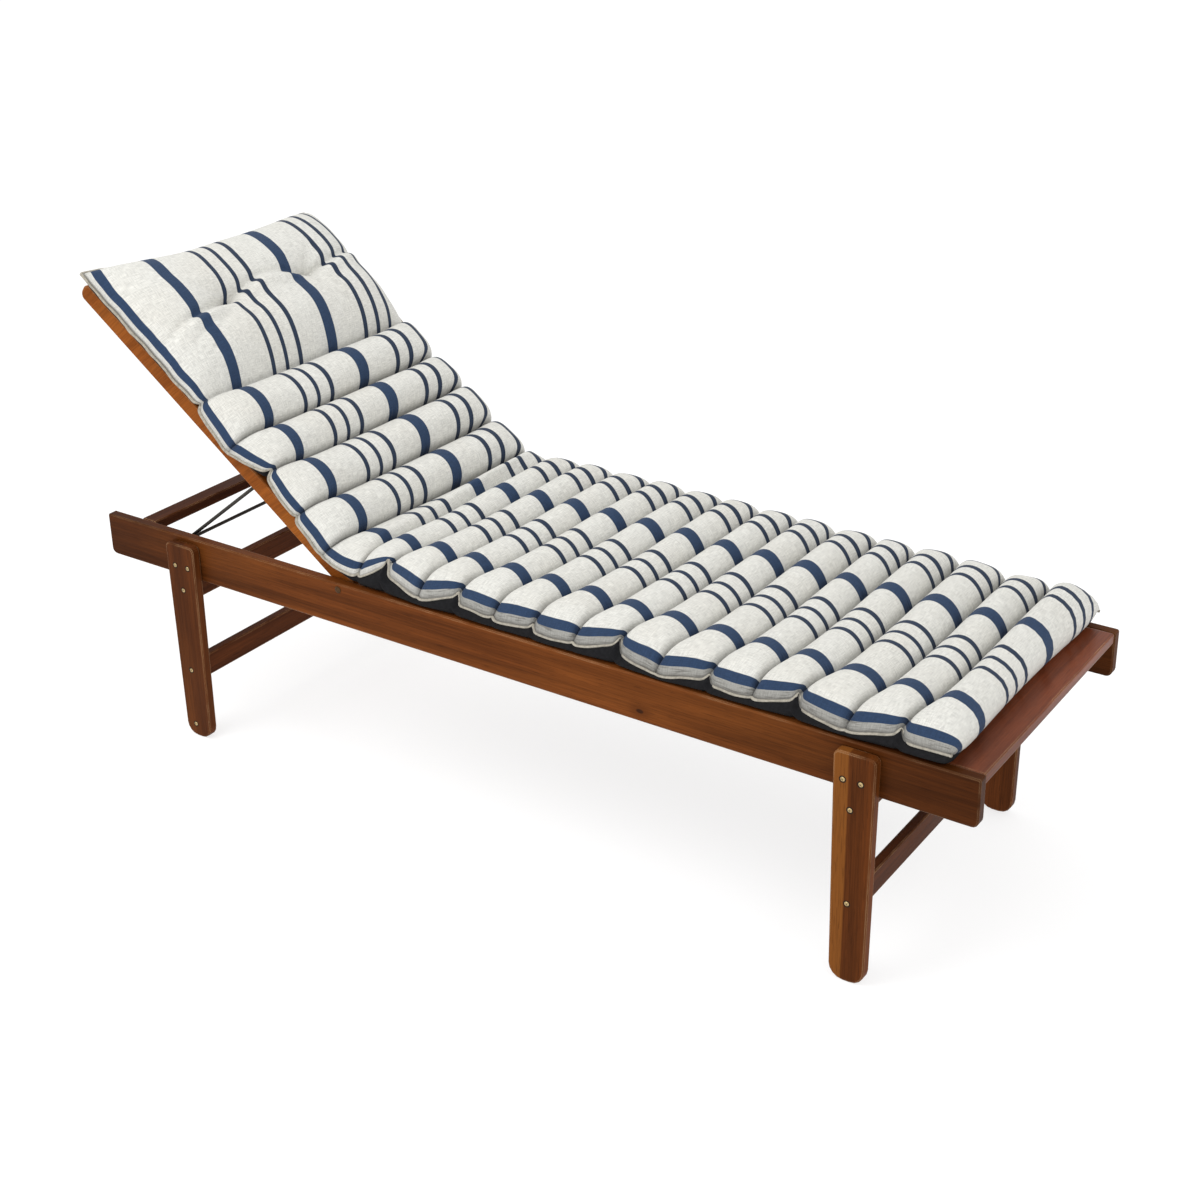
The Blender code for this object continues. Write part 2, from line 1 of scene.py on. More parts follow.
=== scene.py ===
"""Looks for the striped sun lounger cushion and its wooden lounger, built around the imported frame.

Everything is in metres in the frame's own axes: X along the lounger to its foot, Z up, floor at Z = 0.
"""
import math

import bmesh
import bpy
import numpy as np
from mathutils import Matrix, Vector, noise


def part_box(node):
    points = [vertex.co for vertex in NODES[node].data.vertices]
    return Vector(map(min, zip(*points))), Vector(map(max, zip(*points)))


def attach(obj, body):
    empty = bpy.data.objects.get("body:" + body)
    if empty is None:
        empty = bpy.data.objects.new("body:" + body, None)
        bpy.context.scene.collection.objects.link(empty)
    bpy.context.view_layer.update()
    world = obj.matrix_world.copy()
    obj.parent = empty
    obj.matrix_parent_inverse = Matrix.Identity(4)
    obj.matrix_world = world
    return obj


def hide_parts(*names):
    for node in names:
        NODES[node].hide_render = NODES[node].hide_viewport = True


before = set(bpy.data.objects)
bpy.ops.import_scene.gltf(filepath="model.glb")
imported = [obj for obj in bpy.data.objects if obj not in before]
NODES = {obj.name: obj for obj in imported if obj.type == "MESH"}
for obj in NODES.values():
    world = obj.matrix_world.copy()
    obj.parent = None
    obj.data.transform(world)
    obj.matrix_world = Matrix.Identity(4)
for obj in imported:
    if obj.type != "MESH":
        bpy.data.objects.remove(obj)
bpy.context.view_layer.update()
RAIL_LOW, RAIL_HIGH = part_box("side_rail_near")
LEG_FOOT_LOW, LEG_FOOT_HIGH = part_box("leg_foot_near")
LEG_HEAD_LOW, LEG_HEAD_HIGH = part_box("leg_head_near")

# Camera, solved from the photograph's edges
CAMERA_AT = Vector((1.8987, -2.6642, 1.9772))
CAMERA_AZIMUTH = math.radians(34.4505)
CAMERA_ELEVATION = math.radians(23.1383)
CAMERA_ROLL = math.radians(-0.9586)
FOCAL_PIXELS = 1889.19
IMAGE_PIXELS = 1200.0
SENSOR_MM = 36.0
AXIS_ROW = 500.0

# The lounger that the cushion lies on
SEAT_TOP = RAIL_HIGH[2]
FOOT_END = RAIL_HIGH[0]
HEAD_END = RAIL_LOW[0]
BACK_ANGLE = math.radians(36.8)
PIVOT = Vector((HEAD_END + 0.623, 0.0, 0.432))
BACK_RAIL_HEIGHT = 0.035
ALONG_BACK = Vector((-math.cos(BACK_ANGLE), 0.0, math.sin(BACK_ANGLE)))
OFF_BACK = Vector((math.sin(BACK_ANGLE), 0.0, math.cos(BACK_ANGLE)))
GAP = 0.0003

# Cushion: the line that it lies on, and its rolls
HALF_WIDTH = 0.300
SEAT_CLOTH_HALF = 0.319
BACK_CLOTH_HALF = 0.313
PILLOW_CLOTH_HALF = 0.324
SHOULDER_SHARE = 0.72
PILLOW_EDGE_CLOSING = 0.76
BACK_EDGE_CLOSING = 0.88
SEAT_LENGTH = 1.150
CUSHION_FOOT_X = FOOT_END - 0.034
BEND_RADIUS = 0.130
FOOT_SEAM_HEIGHT = 0.024
FOOT_SEAM_SAG = 0.0225
FOOT_TURN_UNDER = 0.35
FOOT_WIDEST = 0.40
FAR_WIDER = 0.012
FAR_WIDER_FROM = 0.40
FAR_FOOT_WIDER = 0.009
FAR_FOOT_REACH = 0.07
FAR_FULLNESS = 0.023
FAR_PILLOW_FULLNESS = 0.012
FAR_PILLOW_WIDER = 0.006
FAR_HEAD_WIDER = 0.016
FAR_FULL_START = -0.5
FAR_FULL_END = 0.9
BACK_DRIFT = 0.010
FAR_BACK_DRIFT = 0.006
FAR_THIRD = (0.45, 0.72)
FOOT_DRIFT = 0.013
FOOT_DRIFT_POWER = 3
FOOT_DRIFT_REACH = 0.09
HEAD_DRIFT = 0.016
HEAD_DRIFT_FROM = 0.72
END_SQUARENESS = 5.0
VALLEY_HEIGHT = 0.031
VALLEY_CREASE = 0.0022
UNDERSIDE_GROOVE = 0.027
GROOVE_REACH = 0.28
GROOVE_CLOSES = (0.80, 0.93)
ROLL_LEAN = 0.035
SQUARER = (0.66, 0.93)
CROWN_UNEVEN = 0.003
VALLEY_UNEVEN = 0.0015
CREASE_SHARE = 0.03
SEAM_RIPPLE = 0.0035
PILLOW_SEAM_RIPPLE = 0.0050
VALLEY_DRAW = 0.004
ROLL_ARC = 0.985
SIDE_SHARPNESS = 9.0
PILLOW_SIDE_SHARPNESS = 6.0
SEAT_BASE_SHARPNESS = 40.0
BACK_BASE_SHARPNESS = 16.0
BASE_DRAW = 0.10
BASE_OVERHANG = 0.0035
SLIP_SHARPNESS = 4
FOOT_BOW = 0.018
FOOT_BOW_CENTRE = -0.15
FOOT_CORNER = 0.014
HEAD_BOW = 0.036
HEAD_BOW_CENTRE = 0.25
FAR_HEAD_SEAM_HEIGHT = 0.023
COLUMNS = 42
ROLL_STATIONS = (0.0, 0.03, 0.075, 0.14, 0.24, 0.36, 0.5, 0.64, 0.76, 0.86, 0.925, 0.97)

# Rolls from the foot to the head: the width of each along the lounger, its crown height, and the seam end
# on its head side: how far that end is drawn in and how high it lies, for the near (-Y) and the far (+Y)
# side, how far the near end slips to the head, and how far the channel slants to the foot by its far end
ROLL_COLUMNS = ("width", "crown", "near_in", "near_up", "near_slip", "far_in", "far_up", "slant")
ROLL_ROWS = (
    (0.0975, 0.072, 0.016, 0.026, 0.016, 0.004, 0.018, 0.010),
    (0.0857, 0.070, 0.002, 0.012, 0.018, 0.016, 0.028, 0.015),
    (0.0926, 0.072, 0.018, 0.031, 0.022, 0.003, 0.019, 0.012),
    (0.0877, 0.073, 0.003, 0.018, 0.009, 0.014, 0.029, 0.014),
    (0.0847, 0.071, 0.014, 0.022, 0.014, 0.005, 0.020, 0.020),
    (0.0936, 0.073, 0.001, 0.010, 0.016, 0.015, 0.027, 0.029),
    (0.0916, 0.074, 0.020, 0.032, 0.012, 0.003, 0.018, 0.038),
    (0.0891, 0.074, 0.004, 0.017, 0.007, 0.014, 0.028, 0.046),
    (0.0891, 0.077, 0.011, 0.022, 0.009, 0.004, 0.020, 0.051),
    (0.0891, 0.077, 0.005, 0.020, 0.003, 0.013, 0.029, 0.056),
    (0.0857, 0.079, 0.017, 0.034, 0.006, 0.004, 0.019, 0.059),
    (0.0867, 0.079, 0.003, 0.016, 0.000, 0.014, 0.028, 0.059),
    (0.0818, 0.079, 0.022, 0.052, 0.006, 0.006, 0.022, 0.059),
    (0.0749, 0.076, 0.008, 0.022, -0.006, 0.010, 0.026, 0.051),
    (0.0860, 0.070, 0.001, 0.008, 0.000, 0.004, 0.020, 0.029),
    (0.0862, 0.070, 0.006, 0.019, 0.002, 0.012, 0.028, 0.013),
    (0.0987, 0.070, 0.015, 0.032, 0.004, 0.004, 0.020, 0.012),
    (0.0912, 0.070, 0.001, 0.003, 0.000, 0.013, 0.028, 0.012),
    (0.1031, 0.071, 0.008, 0.022, 0.003, 0.005, 0.026, 0.012),
)
ROLLS = [dict(zip(ROLL_COLUMNS, row)) for row in ROLL_ROWS]

# Small tucks where a channel meets the side seam, in proportion to how far that end is drawn in
TUCK_REACH = 0.0048
TUCK_RISE = 0.55
TUCK_DROP = 0.65
TUCK_DRAW = 0.45

# The standing ridge of the side seam
RIDGE_WIDTH = 0.0056
RIDGE_THICK = 0.0044
RIDGE_TILT = 0.10
RIDGE_SIDES = 8

# Head pillow
PILLOW_LENGTH = 0.361
PILLOW_ROWS = 64
PILLOW_CROWN = 0.094
PILLOW_END_HEIGHT = 0.030
PILLOW_RISE = 0.34
PILLOW_RISE_POWER = 2.2
PILLOW_FALL = 0.60
PILLOW_FALL_POWER = 2.2
PILLOW_BASE_POWER = 12.0
PILLOW_GROOVE = 0.014
PILLOW_UNEVEN = 0.004
LEAST_THICKNESS = 0.004
TUFT_COLUMNS = ("along", "across", "depth", "reach")
TUFT_ROWS = (
    (0.180, -0.082, 0.036, 0.028),
    (0.178, 0.138, 0.036, 0.028),
)
TUFTS = [dict(zip(TUFT_COLUMNS, row)) for row in TUFT_ROWS]
TUFT_PULL = 0.34
TUFT_PULL_REACH = 0.05
TUFT_BUTTON = 0.014
TUFT_WRINKLES = 7
TUFT_WRINKLE_DEPTH = 0.0042
CREASE_COLUMNS = ("across", "along", "depth")
CREASE_ROWS = (
    (-0.300, 0.122, 0.006),
    (-0.273, 0.136, 0.008),
    (-0.212, 0.158, 0.010),
    (-0.148, 0.169, 0.012),
    (-0.082, 0.180, 0.013),
    (-0.033, 0.195, 0.012),
    (0.026, 0.210, 0.009),
    (0.068, 0.200, 0.011),
    (0.109, 0.182, 0.013),
    (0.138, 0.178, 0.014),
    (0.181, 0.177, 0.012),
    (0.230, 0.190, 0.011),
    (0.300, 0.199, 0.010),
)
CREASE_REACH = 0.008
CREASE_FULLNESS = 1.75
CREASE_LIP = 0.007
CREASE_LIP_AT = 0.018
CREASE_LIP_REACH = 0.015
STRIPE_DRIFT = 0.013

# Soft folds of the pillow, each a shallow trough between two points (along, across)
FOLD_COLUMNS = ("along_1", "across_1", "along_2", "across_2", "depth", "reach")
FOLD_ROWS = (
    (0.232, -0.150, 0.190, -0.095, 0.0080, 0.010),
    (0.095, -0.245, 0.145, -0.160, 0.0060, 0.010),
    (0.060, -0.215, 0.130, -0.150, 0.0045, 0.010),
    (0.115, -0.165, 0.168, -0.100, 0.0050, 0.009),
    (0.130, -0.040, 0.170, -0.075, 0.0040, 0.009),
    (0.240, 0.185, 0.190, 0.150, 0.0060, 0.010),
    (0.230, 0.080, 0.190, 0.125, 0.0050, 0.010),
    (0.150, 0.030, 0.165, 0.085, 0.0045, 0.010),
    (0.120, 0.200, 0.165, 0.155, 0.0045, 0.010),
    (0.020, -0.240, 0.055, -0.215, 0.0040, 0.009),
    (0.260, -0.290, 0.215, -0.225, 0.0050, 0.012),
    (0.040, 0.260, 0.120, 0.285, 0.0045, 0.012),
)

# Stripes woven along the cushion: where each starts and ends across it, measured on the cloth
STRIPE_COLUMNS = ("start", "end", "is_broad")
STRIPE_ROWS = (
    (-0.3005, -0.2825, 1),
    (-0.2044, -0.1788, 1),
    (-0.0935, -0.0830, 0),
    (-0.0558, -0.0459, 0),
    (-0.0176, -0.0062, 0),
    (0.0680, 0.0960, 1),
    (0.1755, 0.1865, 0),
    (0.2120, 0.2235, 0),
    (0.2515, 0.2630, 0),
)

# Cloth colours, linear
CLOTH_CREAM = (0.665, 0.662, 0.625)
CLOTH_WARM = (0.590, 0.560, 0.495)
# Painted shade: the grey that stands in for the shade on the cloth's two sides
SIDE_SHADE_GREY = (0.255, 0.250, 0.232)
# Painted shade: the near-black of the shade line by the near seam and of the shade in the near side's
# creases
PAINTED_DEEP_SHADE = (0.095, 0.088, 0.078)
STRIPE_BROAD = (0.021, 0.044, 0.096)
STRIPE_THIN = (0.020, 0.033, 0.064)
SEAM_BEIGE = (0.400, 0.370, 0.310)
UNDERSIDE_DARK = (0.006, 0.006, 0.007)

# Each ramp: where it starts and ends, and its value at each.
# Painted shade: the greyer bands on the cloth's two sides and the dark line by the near seam, by the place
# across the cloth
NEAR_SIDE_SHADE = (0.292, 0.303, 0.0, 0.85)
NEAR_SIDE_SHADE_BY_LENGTH = (0.95, 1.25, 1.0, 0.22)
FAR_SIDE_SHADE = (0.318, 0.330, 0.0, 0.60)
# Painted shade: the dark line under the ridge of the near seam
SEAM_LINE_SHADE = (0.3125, 0.3215, 0.0, 0.75)
SEAM_SHADE_RAGGED = 0.006
# Painted shade in the near side's creases: the noise range and its strength
BAND_CREASE_SHADE = (0.52, 0.66, 0.0, 0.65)

# Shade and puckers by a sewn channel, by the distance from it
CHANNEL_SHADE = (0.0, 0.012, 0.72, 1.0)
STITCH_SHADE = (0.0004, 0.0022, 0.45, 1.0)
PUCKERS = (0.001, 0.022, 1.0, 0.0)
PLEAT_HEIGHT = 0.0045

# Threads and unevenness of the cloth: its stretch along and across, per metre
SLUBS_ALONG = (60.0, 900.0, 1.0)
SLUBS_ACROSS = (900.0, 60.0, 1.0)
MOTTLE_SCALE = 460.0
SOIL_SCALE = 7.0
CREASE_SCALE = (26.0, 330.0, 1.0)
PUCKER_SCALE = (20.0, 110.0, 1.0)
SIDE_PLEAT_SCALE = (130.0, 30.0, 1.0)
MOTTLE = (0.42, 0.70, 0.0, 0.50)
SOIL = (0.35, 0.75, 0.0, 0.25)
THREAD_SHADE = (0.75, 1.25, 0.80, 1.10)
WEAVE_PITCH = 0.0011
WEAVE_HEIGHT = 0.00012
KNOBBLE_HEIGHT = 0.0005
STRIPE_EDGE = 0.0008

DULL_CLOTH = {"Roughness": 0.95, "Specular IOR Level": 0.2}
CANVAS = {"Roughness": 0.92, "Specular IOR Level": 0.25, "Sheen Weight": 0.06, "Sheen Roughness": 0.5}

# Stained wood, linear colours: the dark, middle and light tones of each cut
RAIL_TONES = ((0.085, 0.0230, 0.0045), (0.165, 0.0450, 0.0090), (0.245, 0.0720, 0.0140))
FOOT_LEG_TONES = ((0.068, 0.0185, 0.0038), (0.132, 0.0355, 0.0070), (0.196, 0.0570, 0.0110))
LEG_TONES = ((0.062, 0.0170, 0.0040), (0.110, 0.0300, 0.0065), (0.165, 0.0490, 0.0100))
CROSS_TONES = ((0.055, 0.0150, 0.0045), (0.098, 0.0270, 0.0072), (0.150, 0.0440, 0.0110))
BOARD_TONES = ((0.095, 0.0225, 0.0085), (0.165, 0.0395, 0.0135), (0.240, 0.0700, 0.0250))
BACK_TONES = ((0.200, 0.0540, 0.0080), (0.280, 0.0800, 0.0125), (0.370, 0.1200, 0.0190))
SAPWOOD = (0.205, 0.0690, 0.0130)
# Edge colour: partly worn wood, partly a painted highlight on the rounded edges
EDGE_WEAR_AND_HIGHLIGHT = (0.420, 0.250, 0.130)
KNOT = (0.030, 0.010, 0.004)
GRAIN_ALONG_X = (0.0, 0.0, 0.0)
GRAIN_ALONG_Y = (0.0, 0.0, math.radians(-90.0))
GRAIN_ALONG_Z = (0.0, math.radians(90.0), 0.0)
GRAIN_ALONG_BACK = (0.0, BACK_ANGLE, 0.0)

# Painted light and shade along a board: the axis, whether it runs from the middle to both ends, and its
# ramp
# Painted shade: the rails darker towards both ends
RAIL_PAINTED_SHADE = (0, True, (0.15, 0.95, 1.0, 0.50))
# Painted light: the foot board darker on its near side and lighter on its far side
BOARD_PAINTED_LIGHT = (1, False, (-0.25, 0.28, 0.80, 1.30))

# Wood figure: its stretch along and across the grain, per metre
BEND_SCALE = (1.3, 9.0, 9.0)
RING_SCALE = (0.9, 34.0, 34.0)
RING_DISTORTION = 0.8
FIBRE_SCALE = (7.0, 420.0, 420.0)
PORE_SCALE = (28.0, 900.0, 900.0)
PATCH_SCALE = (2.2, 5.0, 5.0)
RUB_SCALE = (14.0, 40.0, 40.0)
SEED_STEPS = (1.7, 0.61, 0.37)
RINGS_SHOWN = (0.34, 0.66)
BENDS_SHOWN = (0.48, 0.72, 0.0, 0.75)
PATCHES_SHOWN = (0.30, 0.60, 0.45, 0.0)
FIBRES_SHOWN = (0.30, 0.70, 0.80, 1.14)
PORES_SHOWN = (0.60, 0.68, 0.0, 0.45)
PORE_DARKNESS = 0.4
EDGE_ROUND_RADIUS = 0.0045
EDGE_LIGHTENING_TURN = (0.86, 0.995, 1.0, 0.0)
LEAST_EDGE_LIGHTENING = 0.15
GRAIN_HEIGHT = 0.00035

# The pale strip of sapwood on the near foot leg, and the knot in the near rail
STRIP_SHARE = 0.37
STRIP_EDGE = 0.0016
STRIP_WANDER = 0.010
STRIP_DEPTH = 0.92
KNOT_FROM_LEG = 0.379
KNOT_HEIGHT = 0.020
KNOT_STRETCH = (0.55, 0.0, 1.0)
KNOT_HALO = (0.004, 0.020, 0.65, 0.0)
KNOT_HEART = (0.0028, 0.0052, 0.9, 0.0)
LEG_SPLIT = LEG_FOOT_LOW[0] + STRIP_SHARE * (LEG_FOOT_HIGH[0] - LEG_FOOT_LOW[0])
KNOT_AT = (LEG_FOOT_LOW[0] - KNOT_FROM_LEG, RAIL_LOW[1], RAIL_LOW[2] + KNOT_HEIGHT)

FOOT_BOARD_FINISH = {"gloss": 0.34, "wear": 0.80, "shine": 0.14, "fade": BOARD_PAINTED_LIGHT}

# Which wood each board gets, by the start of its name; the first row that fits counts
WOOD_COLUMNS = ("starts_with", "tones", "turn", "options")
WOOD_ROWS = (
    ("side_rail_near", RAIL_TONES, GRAIN_ALONG_X, {"knot": KNOT_AT, "fade": RAIL_PAINTED_SHADE}),
    ("side_rail", RAIL_TONES, GRAIN_ALONG_X, {"fade": RAIL_PAINTED_SHADE}),
    ("rack", CROSS_TONES, GRAIN_ALONG_X, {}),
    ("leg_foot_near", FOOT_LEG_TONES, GRAIN_ALONG_Z, {"strip": LEG_SPLIT}),
    ("leg", LEG_TONES, GRAIN_ALONG_Z, {}),
    ("back_rail", BACK_TONES, GRAIN_ALONG_BACK, {"gloss": 0.48}),
    ("back_slat", BACK_TONES, GRAIN_ALONG_Y, {"gloss": 0.50}),
    ("foot_board", BOARD_TONES, GRAIN_ALONG_Y, FOOT_BOARD_FINISH),
    ("", CROSS_TONES, GRAIN_ALONG_Y, {}),
)
WOODS = [dict(zip(WOOD_COLUMNS, row)) for row in WOOD_ROWS]

# Metal, linear colours
BRASS = (0.560, 0.420, 0.210)
DULL_BRASS = (0.085, 0.045, 0.020)
DARK_STEEL = (0.060, 0.056, 0.050)
# Painted shade: the near-black of the screws' countersunk hollows and cross recesses
SOCKET_PAINTED_SHADE = (0.020, 0.010, 0.005)

# Wood screws on the legs' outer faces: along from the leg's middle, height over the floor
SCREW_COLUMNS = ("leg", "along", "height")
SCREW_ROWS = (
    ("head", -0.0156, 0.387),
    ("head", 0.0184, 0.387),
    ("head", 0.0000, 0.335),
    ("head", -0.0030, 0.153),
    ("head", -0.0070, 0.027),
    ("foot", -0.0194, 0.384),
    ("foot", 0.0126, 0.384),
    ("foot", -0.0044, 0.331),
    ("foot", -0.0030, 0.153),
)
SCREW_RADIUS = 0.0042
SOCKET_RADIUS = 0.0064
RECESS_ARM = 0.0022
RECESS_WIDTH = 0.0007
SCREW_STEPS = 24

# Wire bail that props the backrest
WIRE_RADIUS = 0.0036
BAIL_BEND = 0.016
BAIL_BEND_STEPS = 8
WIRE_SIDES = 14

# Studio: a paper floor that glows a little, and soft lights aimed at the lounger
FLOOR_REACH = 14.0
PAPER = {"Base Color": (0.35, 0.35, 0.35), "Emission Color": (1.0, 1.0, 1.0), "Emission Strength": 0.72,
         "Roughness": 1.0, "Specular IOR Level": 0.0}
LIGHT_COLUMNS = ("name", "place", "aim", "size", "power")
LIGHT_ROWS = (
    ("key", (-1.2, -2.2, 3.6), (0.0, 0.0, 0.5), 2.4, 60.0),
    ("fill", (3.0, -1.5, 2.4), (0.1, 0.0, 0.4), 2.5, 18.0),
)


def linked(name, data):
    thing = bpy.data.objects.new(name, data)
    bpy.context.scene.collection.objects.link(thing)
    return thing


def mesh_from(name, points, faces):
    mesh = bpy.data.meshes.new(name)
    mesh.from_pydata([tuple(point) for point in points], [], faces)
    mesh.update()
    return mesh


def ring_faces(count, sides):
    """Faces that join each ring of points to the next one."""
    faces = []
    for low in range(0, (count - 1) * sides, sides):
        for step in range(sides):
            turn = (step + 1) % sides
            faces.append((low + step, low + turn, low + sides + turn, low + sides + step))
    return faces


def smoothed(thing):
    thing.data.polygons.foreach_set("use_smooth", [True] * len(thing.data.polygons))
    smooth = thing.modifiers.new("smooth", "SUBSURF")
    smooth.levels = 1
    smooth.render_levels = 1


class Nodes:
    """Short calls to build one material's node tree."""

    def __init__(self, name):
        self.material = bpy.data.materials.new(name)
        self.material.use_nodes = True
        self.tree = self.material.node_tree
        self.shader = self.tree.nodes["Principled BSDF"]

    def add(self, kind, **settings):
        node = self.tree.nodes.new(kind)
        for key, value in settings.items():
            setattr(node, key, value)
        return node

    def set(self, socket, value):
        if isinstance(value, bpy.types.NodeSocket):
            self.tree.links.new(value, socket)
        elif isinstance(value, (tuple, list)) and len(value) == 3 and len(socket.default_value) == 4:
            socket.default_value = (*value, 1.0)
        else:
            socket.default_value = value

    def math(self, operation, first, second=0.0, clamp=False):
        node = self.add("ShaderNodeMath", operation=operation, use_clamp=clamp)
        self.set(node.inputs[0], first)
        self.set(node.inputs[1], second)
        return node.outputs[0]

    def ramp(self, value, low, high, start=0.0, end=1.0):
        """Value from low to high, taken smoothly to start and end."""
        node = self.add("ShaderNodeMapRange", interpolation_type="SMOOTHSTEP")
        for socket, number in zip(node.inputs[:5], (value, low, high, start, end)):
            self.set(socket, number)
        return node.outputs[0]

    def mix(self, factor, first, second, blend="MIX"):
        node = self.add("ShaderNodeMix", data_type="RGBA", blend_type=blend)
        self.set(node.inputs["Factor"], factor)
        self.set(node.inputs["A"], first)
        self.set(node.inputs["B"], second)
        return node.outputs["Result"]

    def coordinates(self, kind, scale=(1.0, 1.0, 1.0), turn=(0.0, 0.0, 0.0), shift=(0.0, 0.0, 0.0)):
        source = self.add("ShaderNodeTexCoord")
        turned = self.add("ShaderNodeMapping")
        self.set(turned.inputs["Vector"], source.outputs[kind])
        turned.inputs["Rotation"].default_value = turn
        turned.inputs["Location"].default_value = shift
        scaled = self.add("ShaderNodeMapping")
        self.set(scaled.inputs["Vector"], turned.outputs["Vector"])
        scaled.inputs["Scale"].default_value = scale
        return scaled.outputs["Vector"]

    def surface(self, values):
        for name, value in values.items():
            self.set(self.shader.inputs[name], value)
        return self.material

    def shaded(self, colour, shade):
        return self.mix(1.0, colour, shade, "MULTIPLY")

    def noise(self, vector, scale, detail=3.0, roughness=0.5, distortion=0.0):
        node = self.add("ShaderNodeTexNoise")
        self.set(node.inputs["Vector"], vector)
        node.inputs["Scale"].default_value = scale
        node.inputs["Detail"].default_value = detail
        node.inputs["Roughness"].default_value = roughness
        node.inputs["Distortion"].default_value = distortion
        return node.outputs["Fac"]

    def bump(self, height, distance, strength=1.0, normal=None):
        node = self.add("ShaderNodeBump")
        self.set(node.inputs["Height"], height)
        node.inputs["Distance"].default_value = distance
        node.inputs["Strength"].default_value = strength
        if normal is not None:
            self.set(node.inputs["Normal"], normal)
        return node.outputs["Normal"]


def weave_height(nodes, along, across):
    """Plain weave: two crossed sets of threads."""
    turns = 2.0 * math.pi / WEAVE_PITCH
    warp = nodes.math("SINE", nodes.math("MULTIPLY", across, turns))
    weft = nodes.math("SINE", nodes.math("MULTIPLY", along, turns))
    return nodes.math("MULTIPLY", warp, weft)


def map_axes(nodes, uv_map):
    """The two coordinates of one of the cushion's maps."""
    split = nodes.add("ShaderNodeSeparateXYZ")
    nodes.set(split.inputs[0], nodes.add("ShaderNodeUVMap", uv_map=uv_map).outputs["UV"])
    return split.outputs[0], split.outputs[1]


def cloth_noise(nodes, scale, detail):
    return nodes.noise(nodes.coordinates("UV", scale=scale), 1.0, detail)


def painted_side_shade(nodes, across, from_foot, mottle, colour):
    """Paints shade into the colour on the cloth's two sides, a dark line of shade by the near seam and
    shade in the near side's creases; returns the side shade and the colour.
    """
    to_near = nodes.math("MULTIPLY", across, -1.0)
    near_shade = nodes.ramp(to_near, *NEAR_SIDE_SHADE)
    near_shade = nodes.math("MULTIPLY", near_shade, nodes.ramp(from_foot, *NEAR_SIDE_SHADE_BY_LENGTH))
    side_shade = nodes.math("MAXIMUM", near_shade, nodes.ramp(across, *FAR_SIDE_SHADE))
    # Painted shade on the cloth's two sides, weaker on the near side up the backrest
    colour = nodes.mix(side_shade, colour, SIDE_SHADE_GREY)
    ragged = nodes.math("ADD", to_near, nodes.math("MULTIPLY", mottle, SEAM_SHADE_RAGGED))
    # Painted shade: a ragged dark line by the near seam
    colour = nodes.mix(nodes.ramp(ragged, *SEAM_LINE_SHADE), colour, PAINTED_DEEP_SHADE)
    # Painted shade in the creases of the near side
    creases = nodes.ramp(cloth_noise(nodes, CREASE_SCALE, 3.0), *BAND_CREASE_SHADE)
    return side_shade, nodes.mix(nodes.math("MULTIPLY", creases, near_shade), colour, PAINTED_DEEP_SHADE)


def woven_stripes(nodes, place, colour):
    for row in STRIPE_ROWS:
        stripe = dict(zip(STRIPE_COLUMNS, row))
        middle = (stripe["start"] + stripe["end"]) / 2
        half = (stripe["end"] - stripe["start"]) / 2
        away = nodes.math("ABSOLUTE", nodes.math("SUBTRACT", place, middle))
        inside = nodes.ramp(away, half - STRIPE_EDGE / 2, half + STRIPE_EDGE / 2, 1.0, 0.0)
        colour = nodes.mix(inside, colour, STRIPE_BROAD if stripe["is_broad"] else STRIPE_THIN)
    return colour


def cloth_material():
    """Natural canvas with navy stripes that run along the cloth's own length."""
    nodes = Nodes("striped canvas")
    along, across = map_axes(nodes, "cloth")
    to_channel, from_foot = map_axes(nodes, "channel")
    slubs_along = cloth_noise(nodes, SLUBS_ALONG, 2.0)
    slubs_across = cloth_noise(nodes, SLUBS_ACROSS, 2.0)
    mottle = nodes.noise(nodes.coordinates("UV"), MOTTLE_SCALE, 5.0, 0.7)
    soil = nodes.noise(nodes.coordinates("UV"), SOIL_SCALE, 2.0)
    colour = nodes.mix(nodes.ramp(mottle, *MOTTLE), CLOTH_CREAM, CLOTH_WARM)
    colour = nodes.mix(nodes.ramp(soil, *SOIL), colour, CLOTH_WARM)
    # Painted shade on the cloth's sides, by the near seam and in the near side's creases
    side_shade, colour = painted_side_shade(nodes, across, from_foot, mottle, colour)
    ragged = nodes.math("MULTIPLY", nodes.math("SUBTRACT", slubs_along, 0.5), STRIPE_EDGE)
    colour = woven_stripes(nodes, nodes.math("ADD", across, ragged), colour)
    colour = nodes.shaded(colour, nodes.ramp(nodes.math("ADD", slubs_along, slubs_across), *THREAD_SHADE))
    colour = nodes.shaded(colour, nodes.ramp(to_channel, *CHANNEL_SHADE))
    colour = nodes.shaded(colour, nodes.ramp(to_channel, *STITCH_SHADE))
    puckers = nodes.ramp(to_channel, *PUCKERS)
    puckers = nodes.math("MULTIPLY", cloth_noise(nodes, PUCKER_SCALE, 2.0), puckers)
    side_pleats = nodes.math("MULTIPLY", cloth_noise(nodes, SIDE_PLEAT_SCALE, 3.0), side_shade)
    pleats = nodes.math("ADD", puckers, side_pleats)
    fine = nodes.bump(weave_height(nodes, along, across), WEAVE_HEIGHT, 0.6)
    knobbly = nodes.bump(mottle, KNOBBLE_HEIGHT, 0.7, fine)
    pleated = nodes.bump(pleats, PLEAT_HEIGHT, 0.8, knobbly)
    return nodes.surface({"Base Color": colour, "Normal": pleated, **CANVAS})


